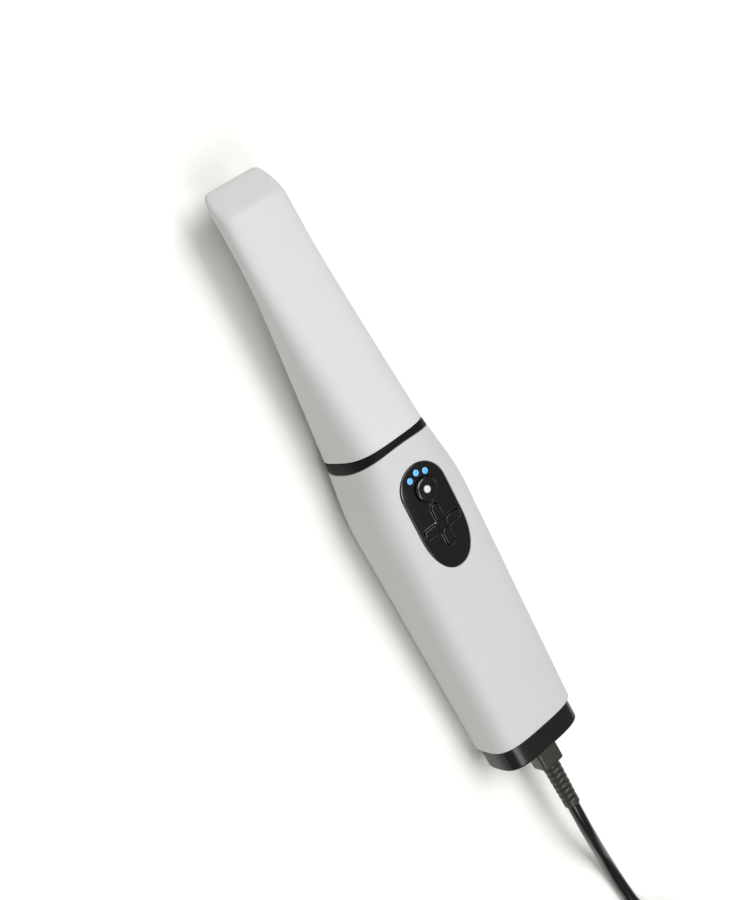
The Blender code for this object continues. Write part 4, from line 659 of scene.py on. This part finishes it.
def make_front_collar():
    """Band flush with the shell, with its spigot in the shell and its lip in the tip."""
    front = X_SEAM - FIT / 2
    spigot = SHELL_WALL + FIT
    spigot_end = X_SEAM - 7.7 * MM
    hole = spigot + 1.8 * MM
    lip = TIP_WALL + FIT
    rings = [section(X_SEAM, 0.15 * MM, at=front),
             section(X_SEAM, 0.04 * MM, at=front - 0.04 * MM),
             section(X_SEAM, at=front - 0.15 * MM)]
    rings += [wavy_ring(-0.15 * MM, 0.0, share, X_SEAM - 0.8 * MM) for share in (0.2, 0.6, 1.0)]
    rings += [wavy_ring(-0.04 * MM, 0.04 * MM), wavy_ring(0.0, 0.15 * MM), wavy_ring(0.0, spigot),
              section(X_SEAM, spigot, at=spigot_end, face=spigot + 0.7 * MM),
              section(X_SEAM, hole, at=spigot_end), section(X_SEAM, hole),
              section(X_SEAM + 4 * MM, hole), section(X_SEAM + 4 * MM, lip + 0.3 * MM),
              section(X_SEAM + 3.7 * MM, lip), section(X_SEAM, lip, at=front)]
    return skin("seam_band", rings, closed=True)


def make_rear_cap():
    """End cap: polished flank, rounded rim, recessed end with the port, and a spigot."""
    inset = 1.15 * MM
    rim = inset + 0.8 * MM
    spigot = SHELL_WALL + FIT
    spigot_end = X_SHELL + 6.0 * MM
    inner = spigot + 1.5 * MM
    joint = X_SHELL - FIT
    recess = X_REAR + PORT_DEPTH
    rear = X_REAR - 0.8 * MM

    def ring(x, drawn_in):
        """Ring at x with the form of the shell's end."""
        return section(X_SHELL, drawn_in, at=x)

    rings = [ring(recess + 2.0 * MM, inner), ring(spigot_end - 0.3 * MM, inner),
             ring(spigot_end, inner + 0.3 * MM), ring(spigot_end, spigot + 0.3 * MM),
             ring(spigot_end - 0.3 * MM, spigot), ring(joint, spigot),
             ring(joint, inset + 0.15 * MM), ring(joint - 0.15 * MM, inset)]
    rings += [ring(x, inset) for x in spread(joint - 0.6 * MM, rear + 1.3 * MM, 5)]
    rings += [ring(rear + along, inset + drawn_in)
              for along, drawn_in in quarter_round(0.8 * MM, 6)]
    rings += [ring(rear, rim + 0.45 * MM), ring(rear + 0.08 * MM, rim + 0.6 * MM),
              ring(rear + 0.3 * MM, rim + 0.7 * MM), ring(recess - 0.3 * MM, rim + 0.75 * MM),
              ring(recess, rim + 1.05 * MM)]
    cap = skin("rear_cap_moulding", rings)
    port = rounded_rectangle(9.8 * MM, 4.2 * MM, 2.0 * MM, centre=(0.0, PLUG_Z))
    cutter = skin("port_cutter", [across_x(recess + along * MM, port) for along in (-0.6, 2.6)])
    return cut_away(cap, [cutter])


# Tip

NOSE_ROOT = 88 * MM
NOSE_LIFT = 1.35 * MM
NOSE_SHIFT = 0.4 * MM
WINDOW_CENTRE = (X_NOSE - 13 * MM, 0.0)
WINDOW_LENGTH = 16 * MM
WINDOW_WIDTH = 17 * MM
WINDOW_CORNER = 2.5 * MM


def nose_share(x):
    """How far the nose has bent away at x, from 0 at its root to 1 at its end."""
    return min(max((x - NOSE_ROOT) / (X_NOSE - NOSE_ROOT), 0.0), 1.0) ** 1.3


def tip_ring(x, inset=0.0, **more):
    """Ring of the tip, which lifts and leans a little towards the end of its nose."""
    away = Vector((0.0, NOSE_SHIFT, NOSE_LIFT)) * nose_share(x)
    return [point + away for point in section(x, inset, **more)]


def window_ring(grow, rise):
    """Ring of the scan window's cutter at a rise from the underside of the nose."""
    outline = rounded_rectangle(WINDOW_LENGTH + 2 * grow, WINDOW_WIDTH + 2 * grow,
                                WINDOW_CORNER + grow, centre=WINDOW_CENTRE)
    underside = BOTTOM_KNOTS[-1][1] * MM
    return [Vector((x, y, underside + rise + NOSE_LIFT * nose_share(x))) for x, y in outline]


# Distance back from the end of the nose, and how far the sides and the faces are drawn in there
NOSE_PROFILE = (
    (0.75, 4.3, 0.70), (0.80, 3.5, 0.48), (1.0, 2.75, 0.30), (1.4, 2.1, 0.15), (2.0, 1.6, 0.06),
    (2.8, 1.2, 0.02), (3.7, 0.88, 0.0), (4.7, 0.60, 0.0), (5.9, 0.34, 0.0), (7.2, 0.13, 0.0),
    (8.6, -0.02, 0.0), (10.0, -0.08, 0.0))


def make_tip_sleeve():
    """Moulded sleeve: out over the slanted nose, round the seam's rim and back inside."""
    widest = -0.1 * MM
    rear = X_SEAM + FIT / 2
    rings = [tip_ring(X_NOSE - back * MM, side=side * MM, face=face * MM)
             for back, side, face in NOSE_PROFILE]
    rings += [tip_ring(x, side=widest, face=0.0)
              for x in spread(X_NOSE - 10.7 * MM, X_NOSE - 15.2 * MM, 10)]
    rings += [tip_ring(x, side=side, face=0.0)
              for x, side in zip(spread(X_NOSE - 16.5 * MM, X_NOSE - 31 * MM, 8),
                                 spread(widest, 0.0, 8))]
    rings += [section(x) for x in spread(X_NOSE - 33 * MM, X_SEAM + 4 * MM, 35)]
    rings += [section(X_SEAM + 1.5 * MM), section(rear + 0.2 * MM),
              section(rear + 0.06 * MM, 0.06 * MM), section(rear, 0.2 * MM),
              section(rear, TIP_WALL)]
    inner = spread(X_SEAM + 5 * MM, X_NOSE - 15 * MM, 16)
    inner += spread(X_NOSE - 13.6 * MM, X_NOSE - 3.8 * MM, 8)
    rings += [tip_ring(x, TIP_WALL) for x in inner]
    sleeve = skin("tip_sleeve_moulding", rings)
    chamfer = 0.3 * MM
    cutter = skin("window_cutter", [
        window_ring(chamfer, -0.7 * MM), window_ring(chamfer, -0.04 * MM),
        window_ring(0.0, chamfer - 0.04 * MM), window_ring(0.0, 2.3 * MM)])
    return cut_away(sleeve, [cutter])


# Control panel

def make_control_panel():
    """Polished oval crowned with the shell, with openings for the keys, button and lights."""
    gap = -0.1
    edge = 0.3
    profile = [(gap, -3.0), (gap, -edge), *rolled_edge(edge, edge, 4, grow=gap)]
    rings = [raised(panel_outline(grow * MM), rise * MM) for grow, rise in profile]
    # The face's rings close in on a middle line, which runs from the button to here
    line_end = -30.3 * MM
    outline = panel_outline((gap - edge) * MM)
    for share in (0.95, 0.88, 0.80, 0.71, 0.62, 0.52, 0.42, 0.32, 0.22, 0.12):
        ring = []
        for x, y in outline:
            middle = min(max(x, line_end), X_BUTTON)
            ring.append((middle + (x - middle) * share, y * share))
        rings.append(raised(ring, 0.0))
    panel = skin("control_panel_face", rings)

    button_opening = 4.6 * MM
    cross_gap = 0.08 * MM
    key_gap = 0.18 * MM
    through = ((0.0, -4.0), (0.0, 2.0))
    flare = [(0.0, -4.0), (0.0, -0.34), *rolled_edge(-0.32, 0.34, 4), (0.6, 0.03), (0.6, 2.0)]
    cutters = [
        crowned("button_cutter", lambda grow: circle(BUTTON_CENTRE, button_opening + grow), flare),
        crowned("cross_cutter", lambda grow: cross_outline(cross_gap + grow), through)]
    for centre in LIGHT_CENTRES:
        cutters.append(crowned("light_cutter", lambda radius: circle(centre[:2], radius, 24),
                               ((1.24, -4.0), (1.24, -0.1), (1.34, 0.02), (1.5, 0.5))))
    cut_away(panel, cutters)

    lip = crowned("cross_lip", cross_outline, (
        (0.0, -0.8), (0.0, 0.08), (0.05, 0.16), (0.14, 0.20), (0.24, 0.18), (0.36, 0.10),
        (0.48, -0.02), (0.48, -0.8)), closed=True, sharp=50)
    hub = crowned("cross_hub", lambda radius: circle((X_CROSS, 0.0), radius), (
        (3.3, -2.6), (3.3, 0.0), (3.1, 0.08), (1.5, 0.12), (0.5, 0.12)))
    keys = [crowned("hub_cutter", lambda grow: key_outline(quarter, key_gap + grow), through)
            for quarter in range(4)]
    return join(panel, [lip, cut_away(hub, keys)])


def make_status_light(number, centre):
    """Short light pipe with a slightly domed end, flush with the panel."""
    rim = STATUS_LIGHT_RADIUS / MM
    profile = ((0.30, 0.02), (0.7, 0.00), (0.95, -0.03), (1.10, -0.09), (rim, -0.20), (rim, -3.4))
    return upright("status_light_lens_%d" % number, centre[:2], centre[2], profile, 32)


def make_scan_button():
    """Round button: flat top, well rounded edge, and a well for the white light."""
    profile = ((4.4, -3.5), (4.4, 0.50), (4.38, 0.66), (4.31, 0.82), (4.20, 0.96), (4.05, 1.08),
               (3.86, 1.17), (3.60, 1.23), (3.2, 1.26), (2.6, 1.28), (2.0, 1.30), (1.66, 1.30),
               (1.60, 1.24), (1.60, -0.5))
    return upright("scan_button_cap", BUTTON_CENTRE, BUTTON_HEIGHT, profile, 72, sharp=40)


def make_button_light():
    """White diffuser in the well of the button."""
    rim = BUTTON_LIGHT_RADIUS / MM
    profile = ((0.3, 1.40), (0.7, 1.38), (1.05, 1.33), (1.25, 1.24), (rim, 1.12), (rim, -0.4))
    return upright("button_light_diffuser", BUTTON_CENTRE, BUTTON_HEIGHT, profile, 40)


def make_key(name, quarter):
    """Key with rolled edges and a crowned top, raised above the panel."""
    proud = 0.42
    edge = 0.32
    profile = [(0.0, -3.0), (0.0, proud - edge), *rolled_edge(edge, edge, 5, rise=proud),
               (-0.8, proud + 0.03)]
    return crowned(name, lambda grow: key_outline(quarter, grow), profile)


# Plug, strain relief and cord

PLUG_WIDTH = 10.2 * MM
PLUG_HEIGHT = 8.8 * MM
PLUG_CORNER = 1.6 * MM
# The block hangs a little below the axis of its cord
PLUG_MIDDLE = PLUG_Z - 0.6 * MM
PLUG_TOP = PLUG_MIDDLE + PLUG_HEIGHT / 2
DOT_CENTRE = (X_REAR - 1.5 * MM, 0.0)


def make_cable_plug():
    """Plug block with soft corners, as moulded over its connector."""
    front = X_REAR + PORT_DEPTH - FIT

    def ring(x, inset):
        """Ring of the block at x."""
        return across_x(x, rounded_rectangle(
            PLUG_WIDTH - 2 * inset, PLUG_HEIGHT - 2 * inset, PLUG_CORNER - inset * 0.6,
            centre=(0.0, PLUG_MIDDLE)))

    rings = [ring(PLUG_END + along, inset)
             for along, inset in reversed(quarter_round(0.5 * MM, 5))]
    rings += [ring(x, 0.0) for x in spread(PLUG_END + 1.6 * MM, front - 0.5 * MM, 6)]
    rings += [ring(front - 0.1 * MM, 0.1 * MM), ring(front, 0.35 * MM)]
    block = skin("cable_plug_block", rings)
    well = upright("dot_cutter", DOT_CENTRE, PLUG_TOP, ((1.0, -0.45), (1.0, 1.2)), 32)
    return cut_away(block, [well])


def make_plug_dot():
    """White alignment dot, let into the top of the plug."""
    profile = ((0.3, 0.12), (0.7, 0.10), (0.86, 0.06), (0.9, -0.02), (0.9, -0.4))
    return upright("plug_dot_inlay", DOT_CENTRE, PLUG_TOP, profile, 32)


def around_cord(x, radius):
    """Round ring about the cord's axis at the plug."""
    return across_x(x, circle((0.0, PLUG_Z), radius))


def slotted(x, radius, depth):
    """Ring about the cord's axis, drawn in by a slot: most above and below, less at the sides."""
    points = []
    for place in around_cord(x, radius):
        up = (place.z - PLUG_Z) / radius
        share = (radius - depth * (0.25 + 0.75 * abs(up))) / radius
        points.append(Vector((x, place.y * share, PLUG_Z + (place.z - PLUG_Z) * share)))
    return points


# One land of the strain relief: place along it, and depth of the slot beside it
LAND_PROFILE = (
    (0.40, 0.20), (0.28, 0.60), (0.14, 0.90), (-0.14, 0.90), (-0.28, 0.60), (-0.40, 0.20),
    (-0.70, 0.05), (-1.22, 0.0), (-1.74, 0.05))
LANDS = 7
LAND_PITCH = 2.44 * MM
RELIEF_LENGTH = 19.5 * MM
RELIEF_RADIUS = 3.6 * MM
RELIEF_TAPER = 0.4 * MM


def make_strain_relief():
    """Tapered sleeve: lens-shaped lands with slots between them, and a plain lip at its end."""
    start = PLUG_END - FIT
    end = start - RELIEF_LENGTH
    rings = [around_cord(start, RELIEF_RADIUS - 0.05 * MM),
             around_cord(start - 0.5 * MM, RELIEF_RADIUS)]
    for index in range(LANDS):
        radius = RELIEF_RADIUS - RELIEF_TAPER * (index + 0.5) / LANDS
        land = start - 1.2 * MM - index * LAND_PITCH
        rings += [slotted(land + along * MM, radius, depth * MM)
                  for along, depth in LAND_PROFILE]
    rings += [around_cord(end + along * MM, radius * MM)
              for along, radius in ((1.1, 3.24), (0.3, 3.2), (0.08, 3.1), (0.0, 2.85))]
    return skin("strain_relief_sleeve", rings, sharp=60)


# Route of the part's source, and two more points that lead into the hank
CORD_ROUTE = (
    (-0.1491, 0.0000, 0.0178), (-0.1560, 0.0000, 0.0177), (-0.1650, -0.0008, 0.0160),
    (-0.1750, -0.0030, 0.0118), (-0.1850, -0.0056, 0.0070), (-0.1950, -0.0075, 0.0040),
    (-0.2050, -0.0087, 0.0031), (-0.2130, -0.0098, 0.0031), (-0.2210, -0.0132, 0.0033),
    (-0.2268, -0.0173, 0.0035), (-0.2345, -0.0190, 0.0035), (-0.2400, -0.0190, 0.0035))
# The jacket starts inside the lip of the strain relief
CORD_START = (-0.1482, 0.0, PLUG_Z)
CORD_RADIUS = 2.5 * MM
HANK_X = -0.2450
HANK_Y = 0.0010
HANK_REAR = HANK_X - 0.0550
HANK_RADIUS = 20.0 * MM
HANK_LOWEST = 3.5 * MM
HANK_PITCH = 5.0 * MM
HANK_LAYERS = 4
# Row, 1 inside and 0 outside, and layer of each of the eight turns
HANK_TURNS = ((0, 0), (1, 0), (1, 1), (0, 1), (0, 2), (1, 2), (1, 3), (0, 3))
FAR_PLUG_X = -0.2667
FAR_PLUG_Y = 0.0326
FAR_PLUG_Z = 3.8 * MM


def smooth_route(points, step):
    """Points about a step apart on a Catmull-Rom curve through the route's own points."""
    points = [Vector(point) for point in points]
    padded = [2 * points[0] - points[1], *points, 2 * points[-1] - points[-2]]
    result = [points[0]]
    for index in range(1, len(padded) - 2):
        p0, p1, p2, p3 = padded[index - 1:index + 3]
        count = max(1, round((p2 - p1).length / step))
        for part in range(1, count + 1):
            t = part / count
            result.append(0.5 * (
                2 * p1 + (p2 - p0) * t + (2 * p0 - 5 * p1 + 4 * p2 - p3) * t ** 2
                + (3 * p1 - p0 - 3 * p2 + p3) * t ** 3))
    return result


def eased(share):
    """Smooth step from 0 to 1."""
    share = min(max(share, 0.0), 1.0)
    return share * share * (3 - 2 * share)


def hank_run(start, end, y, height):
    """Straight run of the hank along X."""
    return [Vector((x, y, height)) for x in spread(start, end, 8)]


def fold_point(x, degrees, reach, height):
    """Point of a fold of the hank, about the fold's middle at x."""
    angle = math.radians(degrees)
    return Vector((x + reach * math.cos(angle), HANK_Y + reach * math.sin(angle), height))


def hank_turn(number):
    """Points of one turn: run, far fold, run, near fold that moves on to the next place.

    The last turn ends at the far plug instead.
    """
    row, layer = HANK_TURNS[number]
    radius = HANK_RADIUS - HANK_PITCH * row
    height = HANK_LOWEST + HANK_PITCH * layer
    points = hank_run(HANK_X, HANK_REAR, HANK_Y - radius, height)
    if number == len(HANK_TURNS) - 1:
        for share in spread(0.0, 1.0, 15)[1:]:
            reach = radius + (FAR_PLUG_Y - HANK_Y - radius) * eased(share * 1.1)
            fall = (FAR_PLUG_Z - height) * eased(share * 1.05)
            points.append(fold_point(HANK_REAR, -90 - 180 * share, reach, height + fall))
        return points + hank_run(HANK_REAR, FAR_PLUG_X, FAR_PLUG_Y, FAR_PLUG_Z)[1:]
    points += [fold_point(HANK_REAR, -90 - 180 * share, radius, height)
               for share in spread(0.0, 1.0, 13)[1:]]
    points += hank_run(HANK_REAR, HANK_X, HANK_Y + radius, height)[1:]
    next_row, next_layer = HANK_TURNS[number + 1]
    for share in spread(0.0, 1.0, 13)[1:-1]:
        step = HANK_PITCH * eased(share)
        points.append(fold_point(HANK_X, 90 - 180 * share, radius + (row - next_row) * step,
                                 height + (next_layer - layer) * step))
    return points


def make_cord():
    """Cord as one curve: out of the sleeve, down to the surface, round the hank, to its plug."""
    points = smooth_route(CORD_ROUTE, 3 * MM)
    points[0] = Vector(CORD_START)
    for number in range(len(HANK_TURNS)):
        points += hank_turn(number)
    bpy.ops.object.select_all(action="DESELECT")
    bpy.ops.curve.primitive_nurbs_path_add()
    made = bpy.context.object
    made.name = "cable_jacket"
    curve = made.data
    curve.splines.clear()
    curve.dimensions = "3D"
    curve.resolution_u = 2
    spline = curve.splines.new("POLY")
    spline.points.add(len(points) - 1)
    for point, place in zip(spline.points, points):
        point.co = (*place, 1.0)
    curve.bevel_depth = CORD_RADIUS
    curve.bevel_resolution = 6
    curve.use_fill_caps = True
    return made


def make_hank_tie():
    """Woven strap round the middle of the hank, its free end lapped over the top."""
    middle = (HANK_X + HANK_REAR) / 2
    centre = (HANK_Y, HANK_LOWEST + HANK_PITCH * (HANK_LAYERS - 1) / 2)
    width = 2 * (HANK_RADIUS + CORD_RADIUS + FIT)
    height = HANK_PITCH * HANK_LAYERS + 2 * FIT
    strap_width = 10 * MM
    corner = 2.6 * MM
    thickness = 0.7 * MM
    inner = rounded_rectangle(width, height, corner, centre=centre)
    outer = rounded_rectangle(width + 2 * thickness, height + 2 * thickness, corner + thickness,
                              centre=centre)
    start, end = middle - strap_width / 2, middle + strap_width / 2
    strap = skin("hank_strap", [
        across_x(start, inner), across_x(start, outer), across_x(end, outer),
        across_x(end, inner)], closed=True)
    lap = centre[1] + height / 2 + thickness - 0.05 * MM
    free_end = -12 * MM
    flap = []
    for y in spread(free_end, 14 * MM, 20):
        thin = min((y - free_end) / (1.5 * MM), 1.0) * thickness + 0.1 * MM
        outline = rounded_rectangle(strap_width - 0.6 * MM, thin, thin * 0.4, steps=3,
                                    centre=(middle, lap + thin / 2))
        flap.append([Vector((x, HANK_Y + y, z)) for x, z in outline])
    return join(strap, [skin("flap", flap)])


# The grip is made in steps of a millimetre
GRIP_STEPS = 26


def make_host_plug():
    """Grip of the far plug, with three finger grooves and rounded ends."""
    insets = {0: 1.0, 6: 0.45, 9: 0.45, 12: 0.45, GRIP_STEPS: 0.6}
    rings = []
    for along in range(GRIP_STEPS + 1):
        inset = insets.get(along, 0.0)
        rings.append(across_x(FAR_PLUG_X + along * MM, rounded_rectangle(
            (15.0 - 2 * inset) * MM, (7.6 - 1.6 * inset) * MM, (2.4 - 0.6 * inset) * MM,
            centre=(FAR_PLUG_Y, FAR_PLUG_Z))))
    return skin("host_plug_grip", rings, sharp=50)


def make_host_plug_shell():
    """Folded metal shell of the far plug, hollow at its mouth, with its two latch holes."""
    start = FAR_PLUG_X + GRIP_STEPS * MM + FIT
    profile = ((0.0, 0.0), (6.0, 0.0), (12.8, 0.0), (13.0, 0.12), (13.0, 0.4), (1.0, 0.4))
    rings = []
    for along, inset in profile:
        rings.append(across_x(start + along * MM, rounded_rectangle(
            (12.0 - 2 * inset) * MM, (4.5 - 2 * inset) * MM, max(0.5 - inset, 0.15) * MM, steps=4,
            centre=(FAR_PLUG_Y, FAR_PLUG_Z))))
    shell = skin("host_plug_metal", rings)
    holes = []
    for y in (FAR_PLUG_Y - 3.0 * MM, FAR_PLUG_Y + 3.0 * MM):
        square = rounded_rectangle(2.4 * MM, 2.0 * MM, 0.2 * MM, steps=2,
                                   centre=(start + 7.0 * MM, y))
        holes.append(skin("latch_cutter", [
            [Vector((x, side, z)) for x, side in square] for z in (5.2 * MM, 7.0 * MM)]))
    return cut_away(shell, holes)


# Making the pieces

cord = finish_piece(make_cord(), CORD_PVC, "cord", "black_elastomer",
                    "cable", "cable_hank", "cable_tail")
relief = finish_piece(make_strain_relief(), PLUG_TPE, "cord", "black_elastomer", "strain_relief")
plug = finish_piece(make_cable_plug(), PLUG_TPE, "cord", "black_elastomer", "cable_plug")
dot = finish_piece(make_plug_dot(), WHITE_INLAY, "cord", "white_mark", "plug_dot")
tie = finish_piece(make_hank_tie(), STRAP, "cord", "strap_fabric", "hank_tie")
grip = finish_piece(make_host_plug(), PLUG_TPE, "cord", "black_elastomer", "host_plug")
metal = finish_piece(make_host_plug_shell(), NICKEL, "cord", "steel", "host_plug_shell")

finish_piece(make_body_shell(), WHITE_ABS, "handpiece", "white_plastic", "body_shell")
finish_piece(make_front_collar(), BAND_BLACK, "handpiece", "glossy_black", "front_collar")
finish_piece(make_rear_cap(), CAP_BLACK, "handpiece", "glossy_black", "rear_cap")
finish_piece(make_tip_sleeve(), TIP_ABS, "tip", "white_plastic", "tip_sleeve")
finish_piece(make_control_panel(), PIANO_BLACK, "handpiece", "glossy_black", "control_panel")
for light_number, light_centre in enumerate(LIGHT_CENTRES, 1):
    finish_piece(make_status_light(light_number, light_centre), BLUE_LENS, "handpiece",
                 "blue_light", "status_light_%d" % light_number)
finish_piece(make_scan_button(), PIANO_BLACK, "button", "glossy_black", "scan_button")
finish_piece(make_button_light(), WHITE_LENS, "button", "white_light", "button_light")
for key_quarter, key_name in enumerate(("key_up", "key_left", "key_down", "key_right")):
    finish_piece(make_key(key_name + "_cap", key_quarter), PIANO_BLACK, key_name, "glossy_black",
                 key_name)

# Nodes whose solids show as they are, by finish
NODE_FINISHES = (
    (MIRROR, ("tip_mirror",)),
    (GLASS, ("snout_window", "camera_lens_left", "camera_lens_right", "projector_lens")),
    (BLACK_ANODISED, ("optics_snout", "camera_barrel_left", "camera_barrel_right",
                      "projector_barrel")),
    (MACHINED, ("optics_block", "chassis", "heat_sink")),
    (NICKEL, ("tip_catch_left", "tip_catch_right", "cable_socket", "plug_shell", "key_switches",
              "board_screw_1", "board_screw_2", "board_screw_3", "board_screw_4")),
    (SOLDER_MASK, ("camera_board", "main_board", "socket_board", "key_board")),
    (CHIP_EPOXY, ("image_sensor_left", "image_sensor_right", "processor", "memory_chip_1",
                  "memory_chip_2")),
    (WHITE_INLAY, ("light_source", "indicator_lamps")),
    (POLYIMIDE, ("sensor_flex", "key_flex")),
)
for finish, node_names in NODE_FINISHES:
    for node_name in node_names:
        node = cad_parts[node_name]
        for node_slot in node.material_slots:
            node_slot.material = finish
        if not node.material_slots:
            node.data.materials.append(finish)


# Studio: white floor, soft key light, and small softboxes that the black parts reflect

def make_floor():
    """Plain white floor, a hair below the surface that the scanner lies on."""
    made, _, _ = new_finish("white_studio_floor", "#FBFAF6", 0.9)
    bpy.ops.object.select_all(action="DESELECT")
    bpy.ops.mesh.primitive_plane_add(size=8.0, location=(0.0, 0.0, -0.0002))
    floor = bpy.context.object
    floor.name = "studio_floor"
    floor.data.materials.append(made)


SCANNER_MIDDLE = Vector((0.0, 0.0, 0.02))


def make_light(name, direction, distance, size, watts):
    """Area light that faces the scanner from a direction."""
    away = Vector(direction).normalized() * distance
    bpy.ops.object.light_add(type="AREA", location=SCANNER_MIDDLE + away)
    light = bpy.context.object
    light.name = name
    light.data.shape = "RECTANGLE"
    light.data.size, light.data.size_y = size
    light.data.energy = watts
    light.rotation_euler = away.to_track_quat("Z", "Y").to_euler()


make_floor()
make_light("key_light", (0.26, -0.16, 0.95), 2.4, (1.35, 1.35), 43.6)
make_light("rear_softbox", (-0.48, 0.31, 0.82), 1.2, (0.30, 0.45), 3.8)
make_light("overhead_softbox", (-0.24, -0.06, 0.97), 1.2, (0.22, 0.22), 1.5)
make_light("front_softbox", (0.52, -0.43, 0.74), 1.2, (0.20, 0.20), 0.7)
world = bpy.context.scene.world or bpy.data.worlds.new("studio")
bpy.context.scene.world = world
world.use_nodes = True
sky = world.node_tree.nodes["Background"]
sky.inputs["Color"].default_value = (1.0, 1.0, 1.0, 1.0)
sky.inputs["Strength"].default_value = 0.145
bpy.context.scene.view_settings.view_transform = "Standard"
